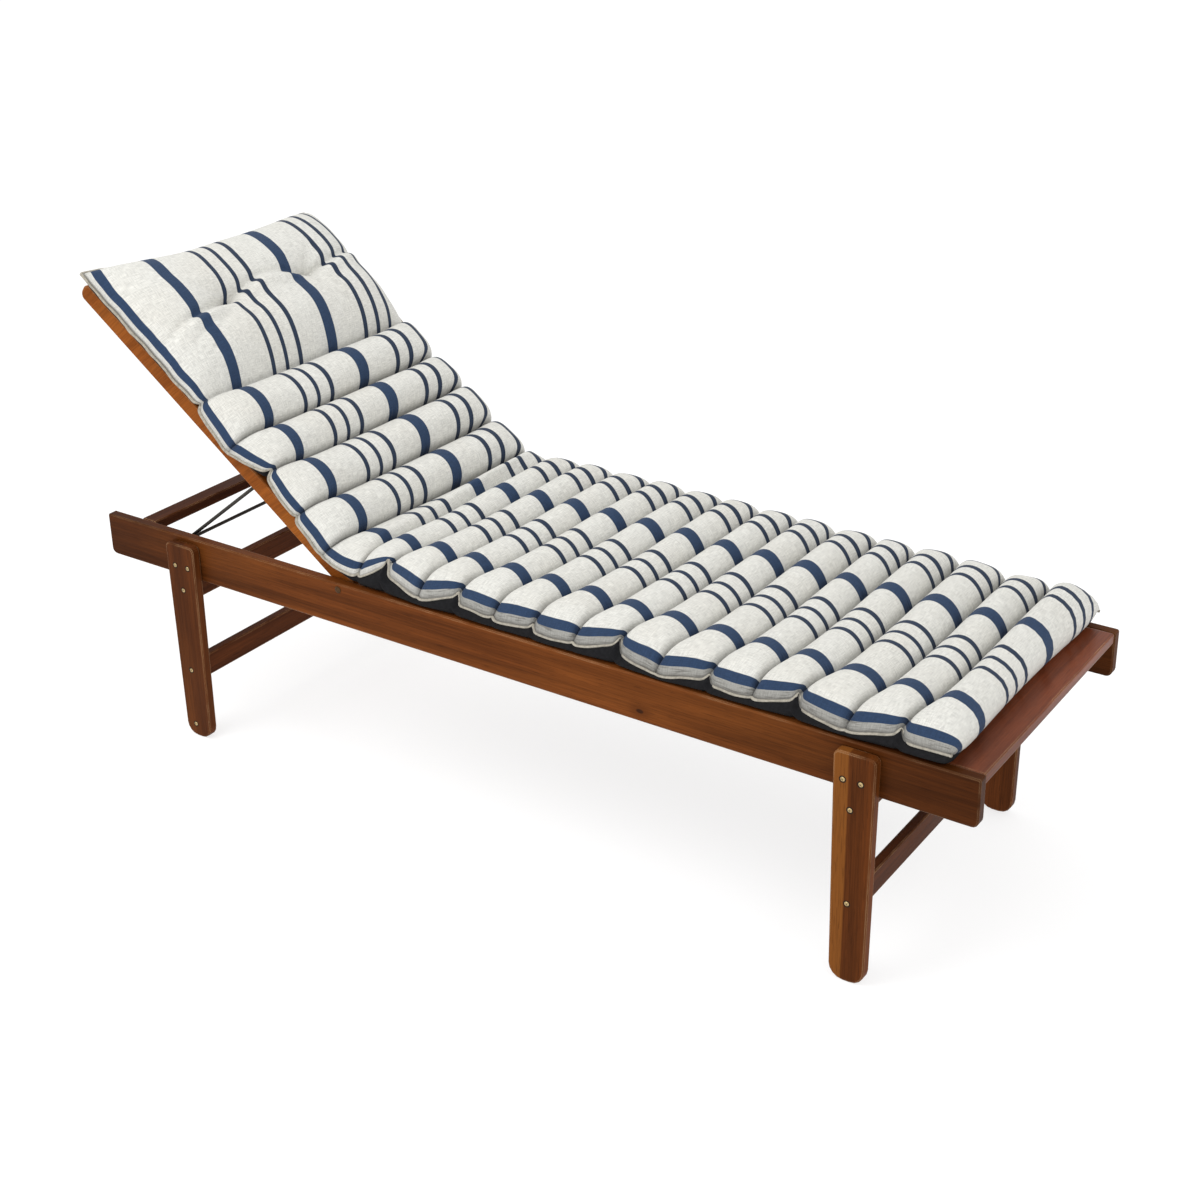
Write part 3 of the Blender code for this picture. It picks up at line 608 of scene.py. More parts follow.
def plain_cloth(name, colour, variation):
    nodes = Nodes(name)
    mottle = nodes.noise(nodes.coordinates("Object"), 160.0, 4.0, 0.6)
    worn = tuple(min(1.0, channel * (1.0 + variation)) for channel in colour)
    mottled = nodes.mix(nodes.ramp(mottle, 0.35, 0.7), colour, worn)
    threads = nodes.bump(nodes.noise(nodes.coordinates("Object"), 900.0, 2.0), 0.0003, 0.6)
    return nodes.surface({"Base Color": mottled, "Normal": threads, **DULL_CLOTH})


def object_axis(nodes, axis):
    split = nodes.add("ShaderNodeSeparateXYZ")
    nodes.set(split.inputs[0], nodes.add("ShaderNodeTexCoord").outputs["Object"])
    return split.outputs[axis]


def with_sapwood(nodes, colour, bend, fibre, edge):
    """A strip of pale sapwood up to an uneven edge across the board."""
    wander = nodes.math("MULTIPLY", nodes.math("SUBTRACT", bend, 0.5), STRIP_WANDER)
    across = nodes.math("ADD", object_axis(nodes, 0), wander)
    inside = nodes.ramp(across, edge - STRIP_EDGE, edge + STRIP_EDGE, STRIP_DEPTH, 0.0)
    darker = tuple(0.86 * value for value in SAPWOOD)
    return nodes.mix(inside, colour, nodes.mix(nodes.ramp(fibre, 0.30, 0.70), darker, SAPWOOD))


def with_knot(nodes, colour, dark, place):
    """A small knot: a dark heart in a darkened halo drawn out along the grain."""
    centred = nodes.add("ShaderNodeMapping")
    nodes.set(centred.inputs["Vector"], nodes.add("ShaderNodeTexCoord").outputs["Object"])
    centred.inputs["Location"].default_value = tuple(-value for value in place)
    drawn = nodes.add("ShaderNodeVectorMath", operation="MULTIPLY")
    nodes.set(drawn.inputs[0], centred.outputs["Vector"])
    drawn.inputs[1].default_value = KNOT_STRETCH
    away = nodes.add("ShaderNodeVectorMath", operation="LENGTH")
    nodes.set(away.inputs[0], drawn.outputs["Vector"])
    colour = nodes.mix(nodes.ramp(away.outputs["Value"], *KNOT_HALO), colour, dark)
    return nodes.mix(nodes.ramp(away.outputs["Value"], *KNOT_HEART), colour, KNOT)


def lightened_edges(nodes, rubbed, wear):
    """How much each place is lightened, partly as worn edges and partly as a painted highlight, from how
    much a rounded edge turns there, and the rounded normal.
    """
    bevel = nodes.add("ShaderNodeBevel", samples=6)
    bevel.inputs["Radius"].default_value = EDGE_ROUND_RADIUS
    facing = nodes.add("ShaderNodeVectorMath", operation="DOT_PRODUCT")
    nodes.set(facing.inputs[0], bevel.outputs["Normal"])
    nodes.set(facing.inputs[1], nodes.add("ShaderNodeNewGeometry").outputs["Normal"])
    rubbed = nodes.ramp(rubbed, 0.36, 0.62, LEAST_EDGE_LIGHTENING, wear)
    worn = nodes.math("MULTIPLY", nodes.ramp(facing.outputs["Value"], *EDGE_LIGHTENING_TURN), rubbed)
    return worn, bevel.outputs["Normal"]


def with_painted_light_along(nodes, colour, fade):
    # Multiplies painted light and shade into the colour along one axis of the board
    axis, from_middle, shade = fade
    place = object_axis(nodes, axis)
    if from_middle:
        place = nodes.math("ABSOLUTE", place)
    return nodes.shaded(colour, nodes.ramp(place, *shade))


def wood_material(name, tones, turn, seed, gloss=0.46, wear=0.90, shine=0.04,
                  strip=None, knot=None, fade=None):
    """Stained hardwood: grain along one axis, fine pores, edges worn lighter and lightened further by a
    painted highlight, and a thin oil finish.
    """
    nodes = Nodes(name)
    shift = tuple(step * seed for step in SEED_STEPS)

    def figure(scale, detail, roughness=0.5, distortion=0.0):
        vector = nodes.coordinates("Object", scale, turn, shift)
        return nodes.noise(vector, 1.0, detail, roughness, distortion)

    dark, middle, light = tones
    bend = figure(BEND_SCALE, 2.0)
    fibre = figure(FIBRE_SCALE, 4.0, 0.6)
    patches = figure(PATCH_SCALE, 3.0)
    grain = nodes.ramp(figure(RING_SCALE, 5.0, distortion=RING_DISTORTION), *RINGS_SHOWN)
    colour = nodes.mix(grain, dark, middle)
    colour = nodes.mix(nodes.ramp(bend, *BENDS_SHOWN), colour, light)
    colour = nodes.mix(nodes.ramp(patches, *PATCHES_SHOWN), colour, dark)
    colour = nodes.shaded(colour, nodes.ramp(fibre, *FIBRES_SHOWN))
    if strip is not None:
        colour = with_sapwood(nodes, colour, bend, fibre, strip)
    if knot is not None:
        colour = with_knot(nodes, colour, dark, knot)
    pore_colour = tuple(PORE_DARKNESS * value for value in dark)
    colour = nodes.mix(nodes.ramp(figure(PORE_SCALE, 1.0), *PORES_SHOWN), colour, pore_colour)
    worn, rounded_normal = lightened_edges(nodes, figure(RUB_SCALE, 3.0), wear)
    # Edges lighter, partly worn and partly a painted highlight
    colour = nodes.mix(worn, colour, EDGE_WEAR_AND_HIGHLIGHT)
    # Painted light and shade along the board
    if fade is not None:
        colour = with_painted_light_along(nodes, colour, fade)
    dull = nodes.ramp(patches, 0.30, 0.70, gloss - 0.06, gloss + 0.10)
    height = nodes.math("ADD", nodes.math("MULTIPLY", fibre, 0.6), nodes.math("MULTIPLY", grain, 0.4))
    normal = nodes.bump(height, GRAIN_HEIGHT, 0.5, rounded_normal)
    finish = {"Base Color": colour, "Roughness": dull, "Specular IOR Level": shine, "Normal": normal}
    return nodes.surface(finish)


def metal_material(name, colour, roughness):
    nodes = Nodes(name)
    spots = nodes.noise(nodes.coordinates("Object"), 420.0, 4.0, 0.6)
    tarnish = tuple(0.45 * value for value in colour)
    spotted = nodes.mix(nodes.ramp(spots, 0.45, 0.75), colour, tarnish)
    dull = nodes.ramp(spots, 0.35, 0.75, roughness, roughness + 0.18)
    pitted = nodes.bump(spots, 0.0002, 0.4)
    return nodes.surface({"Base Color": spotted, "Roughness": dull, "Metallic": 1.0, "Normal": pitted})


def dress(node, finish):
    """Gives a CAD node its finish through its own material slots."""
    thing = NODES[node]
    if not thing.material_slots:
        thing.data.materials.append(finish)
    for slot in thing.material_slots:
        slot.link = "OBJECT"
        slot.material = finish


def dress_lounger():
    """Each board gets its own cut of wood, with the grain along the board."""
    for seed, name in enumerate(sorted(NODES)):
        if name == "cushion" or name.startswith("prop"):
            continue
        if name.startswith("pivot_bolt"):
            dress(name, metal_material(name + " brass", DULL_BRASS, 0.34))
            continue
        wood = next(row for row in WOODS if name.startswith(row["starts_with"]))
        dress(name, wood_material(name + " wood", wood["tones"], wood["turn"], seed, **wood["options"]))


def disc_rings(data, profile, steps=SCREW_STEPS):
    """A turned cap: rings of (radius, height) closed at the middle, facing +Z."""
    rings = []
    for radius, height in profile:
        angles = [2.0 * math.pi * step / steps for step in range(steps)]
        rings.append([data.verts.new((radius * math.cos(a), radius * math.sin(a), height)) for a in angles])
    for low, high in zip(rings, rings[1:]):
        for step in range(steps):
            following = (step + 1) % steps
            data.faces.new((low[step], low[following], high[following], high[step]))
    data.faces.new(rings[-1])


def make_screw(name, place, outward, turn, head_finish, socket_finish):
    """A sunk screw: a thin rim painted near-black as the shade in its countersunk hollow, a domed head, and
    its cross recess, painted near-black as shade too.
    """
    data = bmesh.new()
    disc_rings(data, ((SOCKET_RADIUS, 0.0), (SOCKET_RADIUS, 0.00025), (SCREW_RADIUS, 0.00012)))
    rim_faces = len(data.faces)
    disc_rings(data, ((SCREW_RADIUS, 0.0001), (0.94 * SCREW_RADIUS, 0.0005), (0.6 * SCREW_RADIUS, 0.0009),
                      (0.2 * SCREW_RADIUS, 0.0010)))
    data.faces.ensure_lookup_table()
    head_faces = len(data.faces)
    for long_axis in (0, 1):
        size = [RECESS_WIDTH, RECESS_WIDTH, 0.0002]
        size[long_axis] = 2.0 * RECESS_ARM
        made = bmesh.ops.create_cube(data, size=1.0)
        bmesh.ops.scale(data, vec=size, verts=made["verts"])
        bmesh.ops.translate(data, vec=(0.0, 0.0, 0.00095), verts=made["verts"])
    data.faces.ensure_lookup_table()
    # The rim and the cross recess take the finish painted as shade, the head takes the brass
    for index, face in enumerate(data.faces):
        face.material_index = 1 if rim_faces <= index < head_faces else 0
        face.smooth = rim_faces <= index < head_faces
    mesh = bpy.data.meshes.new(name)
    data.to_mesh(mesh)
    data.free()
    mesh.materials.append(socket_finish)
    mesh.materials.append(head_finish)
    screw = linked(name, mesh)
    aim = Vector((0.0, 0.0, 1.0)).rotation_difference(Vector(outward)).to_matrix().to_4x4()
    screw.matrix_world = Matrix.Translation(place) @ aim @ Matrix.Rotation(turn, 4, "Z")
    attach(screw, "root")


def make_screws():
    brass = metal_material("screw brass", BRASS, 0.38)
    # A near-black finish painted as the shade in the countersunk hollows and cross recesses
    socket = plain_cloth("screw socket", SOCKET_PAINTED_SHADE, 0.3)
    boxes = {"head": (LEG_HEAD_LOW, LEG_HEAD_HIGH), "foot": (LEG_FOOT_LOW, LEG_FOOT_HIGH)}
    for number, row in enumerate(SCREW_ROWS):
        screw = dict(zip(SCREW_COLUMNS, row))
        low, high = boxes[screw["leg"]]
        x = (low[0] + high[0]) / 2 + screw["along"]
        for side, outer in (("near", low[1]), ("far", -low[1])):
            outward = (0.0, math.copysign(1.0, outer), 0.0)
            make_screw(f"screw_{screw['leg']}_{side}_{number + 1}", (x, outer, screw["height"]), outward,
                       0.7 * number, brass, socket)


def rounded_path(corners, radius, steps):
    """A line through the corners with each inner corner rounded off by a bend."""
    path = [Vector(corners[0])]
    for before, here, after in zip(corners, corners[1:], corners[2:]):
        start = here + (before - here).normalized() * radius
        end = here + (after - here).normalized() * radius
        for step in range(steps + 1):
            t = step / steps
            path.append(start * (1.0 - t) ** 2 + here * 2.0 * t * (1.0 - t) + end * t ** 2)
    path.append(Vector(corners[-1]))
    return path


def tube(name, path, radius, sides, finish):
    """A round rod along a path, closed at both ends."""
    points = []
    across = Vector((0.0, 0.0, 1.0))
    for index, point in enumerate(path):
        ahead = path[min(index + 1, len(path) - 1)] - path[max(index - 1, 0)]
        ahead.normalize()
        first = (across - ahead * across.dot(ahead)).normalized()
        second = ahead.cross(first)
        across = first
        for step in range(sides):
            angle = 2.0 * math.pi * step / sides
            points.append(point + (first * math.cos(angle) + second * math.sin(angle)) * radius)
    faces = [tuple(range(sides))[::-1], tuple(range(len(points) - sides, len(points)))]
    faces += ring_faces(len(path), sides)
    mesh = mesh_from(name, points, faces)
    mesh.materials.append(finish)
    mesh.polygons.foreach_set("use_smooth", [len(face) == 4 for face in faces])
    return linked(name, mesh)


def make_bail():
    bar_low, bar_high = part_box("prop_bar")
    arm_low, arm_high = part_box("prop_arm_far")
    bar_x = (bar_low[0] + bar_high[0]) / 2
    bar_z = (bar_low[2] + bar_high[2]) / 2
    bar_y = bar_high[1] - WIRE_RADIUS
    top_x = arm_high[0] - WIRE_RADIUS
    top_z = arm_high[2] - WIRE_RADIUS
    top_y = arm_low[1] + WIRE_RADIUS
    corners = [Vector((top_x, -top_y, top_z)), Vector((bar_x, -bar_y, bar_z)),
               Vector((bar_x, bar_y, bar_z)), Vector((top_x, top_y, top_z))]
    path = rounded_path(corners, BAIL_BEND, BAIL_BEND_STEPS)
    bail = tube("wire_bail", path, WIRE_RADIUS, WIRE_SIDES, metal_material("bail steel", DARK_STEEL, 0.45))
    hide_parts("prop_bar", "prop_arm_near", "prop_arm_far")
    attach(bail, "root")


def lying_line(distance):
    """X and Z of the line that the cushion lies on, at distances from its foot end, and its normal."""
    on_back = PIVOT + OFF_BACK * (BACK_RAIL_HEIGHT / 2)
    corner_x = on_back.x + (on_back.z - SEAT_TOP) / math.tan(BACK_ANGLE)
    tangent = BEND_RADIUS * math.tan(BACK_ANGLE / 2)
    flat = CUSHION_FOOT_X - corner_x - tangent
    angle = np.clip((distance - flat) / BEND_RADIUS, 0.0, BACK_ANGLE)
    past = np.maximum(distance - flat - BEND_RADIUS * BACK_ANGLE, 0.0)
    on_arc = distance > flat
    x = np.where(on_arc, corner_x + tangent - BEND_RADIUS * np.sin(angle), CUSHION_FOOT_X - distance)
    z = np.where(on_arc, BEND_RADIUS * (1.0 - np.cos(angle)), 0.0) + SEAT_TOP + GAP
    return x + ALONG_BACK.x * past, z + ALONG_BACK.z * past, np.sin(angle), np.cos(angle)


def rounded(share, sharpness):
    return np.sqrt(np.maximum(0.0, 1.0 - np.abs(share) ** sharpness))


def arc_share(place):
    """Height along a roll's arc, 0 at its seams and 1 at its middle."""
    level = math.sqrt(1.0 - ROLL_ARC ** 2)
    return (np.sqrt(1.0 - (ROLL_ARC * (2.0 * place - 1.0)) ** 2) - level) / (1.0 - level)


def smooth_step(value, low, high):
    share = np.clip((value - low) / (high - low), 0.0, 1.0)
    return share * share * (3.0 - 2.0 * share)


def grid_noise(along, across, scale_along, scale_across, seed):
    """Smooth noise from -1 to 1 at each point of the grid."""
    along, across = np.broadcast_arrays(along, across)
    values = np.empty(along.shape)
    for index, (u, v) in enumerate(zip(along.flat, across.flat)):
        values.flat[index] = noise.noise(Vector((u * scale_along, v * scale_across, seed)))
    return values


def bowed(share, centre):
    return 1.0 - ((share - centre) / (1.0 + abs(centre))) ** 2


class Rows:
    """The cushion's cross sections from foot to head, as one array for each property."""

    def __init__(self):
        closed = {"near_in": 0.005, "near_slip": 0.0, "far_in": 0.005, "slant": 0.0}
        closed.update(near_tuck=0.0, far_tuck=0.0)
        before = dict(closed, near_up=FOOT_SEAM_HEIGHT, far_up=FOOT_SEAM_HEIGHT)
        head = dict(closed, near_up=PILLOW_END_HEIGHT, far_up=FAR_HEAD_SEAM_HEIGHT)
        listed = []
        start = 0.0
        for number, roll in enumerate(ROLLS):
            roll = dict(roll, near_tuck=roll["near_in"], far_tuck=roll["far_in"])
            for place in ROLL_STATIONS:
                made = self.section(start, roll["width"], place, number, roll["crown"], before, roll)
                listed.append(made)
            start += roll["width"]
            before = roll
        self.pillow_start = start
        for step in range(PILLOW_ROWS + 1):
            place = step / PILLOW_ROWS
            eased = place + 0.10 * math.sin(2.0 * math.pi * place) / (2.0 * math.pi)
            listed.append(self.section(start, PILLOW_LENGTH, eased, len(ROLLS), PILLOW_CROWN, before, head))
        for key in listed[0]:
            setattr(self, key, np.array([[section[key]] for section in listed]))
        self.is_pillow = self.number == len(ROLLS)
        self.is_first = (self.number == 0) & (self.place < 0.5)

    @staticmethod
    def section(start, width, place, number, crown, before, after):
        made = {"distance": start + width * place, "place": place, "number": number, "crown": crown}
        to_before = width * place
        to_after = width * (1.0 - place)
        for name in ("near_in", "near_up", "near_slip", "far_in", "far_up", "slant"):
            made[name] = before[name] * (1.0 - place) + after[name] * place
        for side in ("near", "far"):
            head_side = before[f"{side}_tuck"] * math.exp(-(to_before / TUCK_REACH) ** 2)
            foot_side = after[f"{side}_tuck"] * math.exp(-(to_after / TUCK_REACH) ** 2)
            made[f"{side}_up"] += TUCK_RISE * head_side + (TUCK_RISE + TUCK_DROP) * foot_side
            made[f"{side}_up"] -= TUCK_DROP * after[f"{side}_tuck"] * place
            made[f"{side}_in"] += TUCK_DRAW * (head_side + foot_side)
        return made


def roll_surface(rows, share, y):
    """Top and underside heights of the rolls over the lying line."""
    lumps = grid_noise(rows.distance, y, 9.0, 8.0, 3.1)
    lean = grid_noise(rows.number, y, 5.7, 5.0, 8.4)
    place = np.clip(rows.place + ROLL_LEAN * lean * np.sin(np.pi * rows.place), 0.0, 1.0)
    squarer = smooth_step(np.abs(share), *SQUARER)
    arc = arc_share(place) * (1.0 - squarer) + rounded(2.0 * place - 1.0, END_SQUARENESS) * squarer
    fuller = smooth_step(share, FAR_FULL_START, FAR_FULL_END)
    crown = rows.crown + CROWN_UNEVEN * lumps + FAR_FULLNESS * fuller
    valley = VALLEY_HEIGHT + VALLEY_UNEVEN * grid_noise(rows.distance, y, 3.0, 14.0, 5.5)
    crease = VALLEY_CREASE * np.exp(-np.minimum(rows.place, 1.0 - rows.place) / CREASE_SHARE)
    top = valley + (crown - valley) * arc - crease
    reach = np.maximum(0.0, 1.0 - np.minimum(rows.place, 1.0 - rows.place) / GROOVE_REACH)
    base = UNDERSIDE_GROOVE * reach ** 1.5 * (1.0 - smooth_step(np.abs(share), *GROOVE_CLOSES))
    to_seam = 1.0 - 2.0 * rows.place
    edge = FOOT_SEAM_HEIGHT - FOOT_SEAM_SAG * (1.0 - np.abs(share) ** 6)
    turned = np.pi * np.clip(rows.place / 0.5, 0.0, 1.0)
    widest = edge + (crown - edge) * FOOT_WIDEST
    lower = widest - (widest - edge) * np.cos(turned)
    upper = widest - (crown - widest) * np.cos(turned)
    foot_top = np.where(turned < np.pi / 2, lower, upper)
    foot_base = edge * (1.0 - rounded(to_seam, 6.0))
    return np.where(rows.is_first, foot_top, top), np.where(rows.is_first, foot_base, base)


def crease_lines(y):
    """Where the pillow's crease runs along the pillow, and how deep it is, for each place across."""
    crease = dict(zip(CREASE_COLUMNS, np.array(CREASE_ROWS).T))
    return [np.interp(y, crease["across"], crease[key]) for key in ("along", "depth")]


def fold_depth(along, y):
    """Depth of the soft folds, each a trough between two points that fades at its ends."""
    total = np.zeros(y.shape)
    for row in FOLD_ROWS:
        fold = dict(zip(FOLD_COLUMNS, row))
        run_u = fold["along_2"] - fold["along_1"]
        run_v = fold["across_2"] - fold["across_1"]
        length = math.hypot(run_u, run_v)
        du = along - fold["along_1"]
        dv = y - fold["across_1"]
        t = (du * run_u + dv * run_v) / length ** 2
        off = (du * run_v - dv * run_u) / length
        total += fold["depth"] * np.exp(-(off / fold["reach"]) ** 2) * np.exp(-((t - 0.5) / 0.45) ** 4)
    return total


def pillow_surface(rows, y):
    """Top and underside heights of the head pillow over the lying line."""
    along = rows.place * PILLOW_LENGTH
    rise = 1.0 - (1.0 - np.minimum(rows.place / PILLOW_RISE, 1.0)) ** PILLOW_RISE_POWER
    rising = VALLEY_HEIGHT + (PILLOW_CROWN - VALLEY_HEIGHT) * rise
    past = np.clip((rows.place - PILLOW_FALL) / (1.0 - PILLOW_FALL), 0.0, 1.0)
    falling = PILLOW_END_HEIGHT + (PILLOW_CROWN - PILLOW_END_HEIGHT) * rounded(past, PILLOW_FALL_POWER)
    top = np.where(rows.place < PILLOW_FALL, rising, falling) + 0.0 * y
    top += PILLOW_UNEVEN * grid_noise(along, y, 11.0, 9.0, 1.7) * rise
    crease, depth = crease_lines(y)
    off = along - crease
    top -= CREASE_FULLNESS * depth * np.exp(-np.abs(off) / CREASE_REACH)
    top += CREASE_LIP * np.exp(-((off + CREASE_LIP_AT) / CREASE_LIP_REACH) ** 2)
    for tuft in TUFTS:
        du = along - tuft["along"]
        dv = y - tuft["across"]
        away = np.hypot(du, dv)
        top -= tuft["depth"] * np.exp(-away / tuft["reach"] - (away / (3.0 * tuft["reach"])) ** 2)
        spokes = np.cos(TUFT_WRINKLES * np.arctan2(du, dv) + 40.0 * tuft["across"])
        outside = 1.0 - np.exp(-(away / TUFT_BUTTON) ** 2)
        top -= TUFT_WRINKLE_DEPTH * spokes * np.exp(-away / TUFT_PULL_REACH) * outside
    top -= fold_depth(along, y)
    groove = UNDERSIDE_GROOVE * np.maximum(0.0, 1.0 - along / PILLOW_GROOVE) ** 1.5
    end = PILLOW_END_HEIGHT * (1.0 - rounded(past, PILLOW_BASE_POWER))
    base = np.where(rows.place < PILLOW_FALL, groove, end) + 0.0 * y
    return np.maximum(top, base + LEAST_THICKNESS), base


def share_on_back(rows):
    """0 on the seat, 1 on the backrest."""
    return smooth_step(rows.distance, SEAT_LENGTH, SEAT_LENGTH + 2.0 * BEND_RADIUS * BACK_ANGLE)


def end_slip(rows, share):
    """How far a section slips toward the head where an end of the cushion draws in."""
    foot = FOOT_BOW * bowed(share, FOOT_BOW_CENTRE) * (1.0 - rows.place) * (rows.number == 0)
    corner = FOOT_CORNER * np.abs(share) ** 14 * np.clip(1.0 - 2.0 * rows.place, 0.0, 1.0)
    foot = foot + corner * (rows.number == 0)
    head = HEAD_BOW * bowed(share, HEAD_BOW_CENTRE) * rows.place ** 2 * rows.is_pillow
    return foot - head


def far_wider(rows):
    """How much farther the cushion reaches on its far side."""
    seat = FAR_WIDER * smooth_step(rows.distance, 0.0, FAR_WIDER_FROM)
    foot = FAR_FOOT_WIDER * np.exp(-(rows.distance / FAR_FOOT_REACH) ** 2)
    pillow = (FAR_PILLOW_WIDER + FAR_HEAD_WIDER * rows.place ** 2) * rows.is_pillow
    return seat + foot + pillow


def foot_turns(rows, share):
    """Slips of the top and the underside of the last half roll, which turns under to its hidden seam."""
    half = ROLLS[0]["width"] / 2
    turned = np.pi * np.clip(rows.place / 0.5, 0.0, 1.0)
    under = FOOT_TURN_UNDER * (1.0 - share ** 4)
    outward = np.where(turned < np.pi / 2, under * (1.0 - np.sin(turned)), 1.0 - np.sin(turned))
    top = half * outward - half * rows.place / 0.5
    base = under * half * (1.0 - rows.place / 0.5)
    return top * rows.is_first, base * rows.is_first


def cushion_points():
    """Points of the top and of the underside, rows by columns, and the cloth's own two coordinates."""
    rows = Rows()
    share = np.sin(0.5 * np.pi * np.linspace(-1.0, 1.0, COLUMNS + 1))[None, :]
    near = share < 0.0
    drawn = np.where(near, rows.near_in, rows.far_in)
    drawn = drawn + VALLEY_DRAW * (1.0 - arc_share(rows.place)) * ~rows.is_pillow
    seam = np.where(near, rows.near_up, rows.far_up) + 0.0 * share
    ripple = grid_noise(rows.distance, np.sign(share), 24.0, 1.0, 6.2)
    seam = seam + np.where(rows.is_pillow, PILLOW_SEAM_RIPPLE, SEAM_RIPPLE) * ripple
    slip = rows.near_slip * np.minimum(share, 0.0) ** SLIP_SHARPNESS - rows.slant * (1.0 + share) / 2
    slip = slip + end_slip(rows, share)
    wider = far_wider(rows) * (share > 0.0)
    y = share * (HALF_WIDTH + wider - drawn)
    for tuft in TUFTS:
        away = np.hypot(rows.place * PILLOW_LENGTH - tuft["along"], y - tuft["across"])
        y = y + rows.is_pillow * TUFT_PULL * (tuft["across"] - y) * np.exp(-(away / TUFT_PULL_REACH) ** 2)
    roll_top, roll_base = roll_surface(rows, share, y)
    pillow_top, pillow_base = pillow_surface(rows, y)
    pillow_far = FAR_PILLOW_FULLNESS * smooth_step(share, FAR_FULL_START, FAR_FULL_END)
    pillow_top = pillow_top + pillow_far * rounded(2.0 * rows.place - 1.0, 6.0)
    top = np.where(rows.is_pillow, pillow_top, roll_top)
    base = np.where(rows.is_pillow, pillow_base, roll_base)
    sharpness = np.where(rows.is_pillow, PILLOW_SIDE_SHARPNESS, SIDE_SHARPNESS)
    top = seam + (top - seam) * rounded(share, sharpness)
    on_back = share_on_back(rows)
    base_sharpness = SEAT_BASE_SHARPNESS + (BACK_BASE_SHARPNESS - SEAT_BASE_SHARPNESS) * on_back
    base = seam + (base - seam) * rounded(share, base_sharpness)
    top_turn, base_turn = foot_turns(rows, share)
    x, z, normal_x, normal_z = lying_line(rows.distance + slip + top_turn)
    tops = np.stack((x + normal_x * top, y, z + normal_z * top), axis=-1)
    x, z, normal_x, normal_z = lying_line(rows.distance + slip + base_turn)
    overhang = (BASE_OVERHANG - BASE_DRAW * drawn) * (1.0 - on_back) - drawn * on_back
    base_y = share * (HALF_WIDTH + wider + overhang)
    bases = np.stack((x + normal_x * base, base_y, z + normal_z * base), axis=-1)
    return rows, share, tops, bases


def cloth_coordinates(rows, share, tops):
    """Distance along the cloth, and across it, following the cloth round each side from its seam."""
    steps = np.linalg.norm(np.diff(tops, axis=1), axis=-1)
    walked = np.concatenate((np.zeros((len(tops), 1)), np.cumsum(steps, axis=1)), axis=1)
    across = tops[:, :, 1].copy()
    wider = far_wider(rows)
    on_back = share_on_back(rows)
    cloth_half = SEAT_CLOTH_HALF + (BACK_CLOTH_HALF - SEAT_CLOTH_HALF) * on_back
    cloth_half = np.where(rows.is_pillow, PILLOW_CLOTH_HALF, cloth_half)
    for side in (-1.0, 1.0):
        from_seam = walked if side < 0.0 else walked[:, -1:] - walked
        shoulder = int(np.argmin(np.abs(share[0] - side * SHOULDER_SHARE)))
        outer = np.abs(np.arange(share.size) - COLUMNS / 2) >= abs(shoulder - COLUMNS / 2)
        outer = outer & (np.sign(share[0]) == side)
        side_half = cloth_half + wider * (side > 0.0)
        inset = side_half - np.abs(across[:, shoulder:shoulder + 1])
        closing = np.where(rows.is_pillow, PILLOW_EDGE_CLOSING, 1.0 - (1.0 - BACK_EDGE_CLOSING) * on_back)
        walked_share = (from_seam / from_seam[:, shoulder:shoulder + 1]) ** closing
        rounded_in = side * (side_half - inset * walked_share)
        across = np.where(outer[None, :], rounded_in, across)
    inner = 1.0 - np.abs(share) ** 6
    head_drift = HEAD_DRIFT * smooth_step(rows.place, HEAD_DRIFT_FROM, 1.0) * (1.0 - share) / 2
    pillow_drift = STRIPE_DRIFT * rows.place + head_drift
    across = across - pillow_drift * rows.is_pillow * inner
    across = across + BACK_DRIFT * on_back * inner * ~rows.is_pillow
    far_third = smooth_step(share, *FAR_THIRD) * (1.0 - share ** 14)
    across = across - FAR_BACK_DRIFT * on_back * far_third
    far_share = ((1.0 + share) / 2) ** FOOT_DRIFT_POWER * (1.0 - share ** 14)
    across = across - FOOT_DRIFT * np.exp(-(rows.distance / FOOT_DRIFT_REACH) ** 2) * far_share
    path = np.linalg.norm(np.diff(tops[:, COLUMNS // 2, :], axis=0), axis=-1)
    along = np.concatenate(([0.0], np.cumsum(path)))[:, None] + 0.0 * share
    return along, across


def channel_distance(rows):
    """How far each section lies from its nearest sewn channel."""
    widths = np.array([roll["width"] for roll in ROLLS] + [PILLOW_LENGTH])[rows.number]
    nearer = np.where(rows.is_pillow, rows.place, np.minimum(rows.place, 1.0 - rows.place))
    return np.where(rows.is_first, ROLLS[0]["width"] * 0.5, nearer * widths)


def cover_faces(count, width):
    """Faces of the top and then of the underside, which share the points of their outline."""
    top_index = np.arange(count * width).reshape(count, width)
    base_index = top_index.copy()
    inner = count * width + np.arange((count - 2) * (width - 2)).reshape(count - 2, width - 2)
    base_index[1:-1, 1:-1] = inner
    faces = []
    for index, flip in ((top_index, False), (base_index, True)):
        corners = np.stack((index[:-1, :-1], index[:-1, 1:], index[1:, 1:], index[1:, :-1]), axis=-1)
        corners = corners.reshape(-1, 4)
        faces.extend((corners[:, ::-1] if flip else corners).tolist())
    return faces


def on_cover(grid):
    """A grid's values at the points of the top and then at the underside's own points."""
    return np.concatenate((grid.ravel(), grid[1:-1, 1:-1].ravel()))


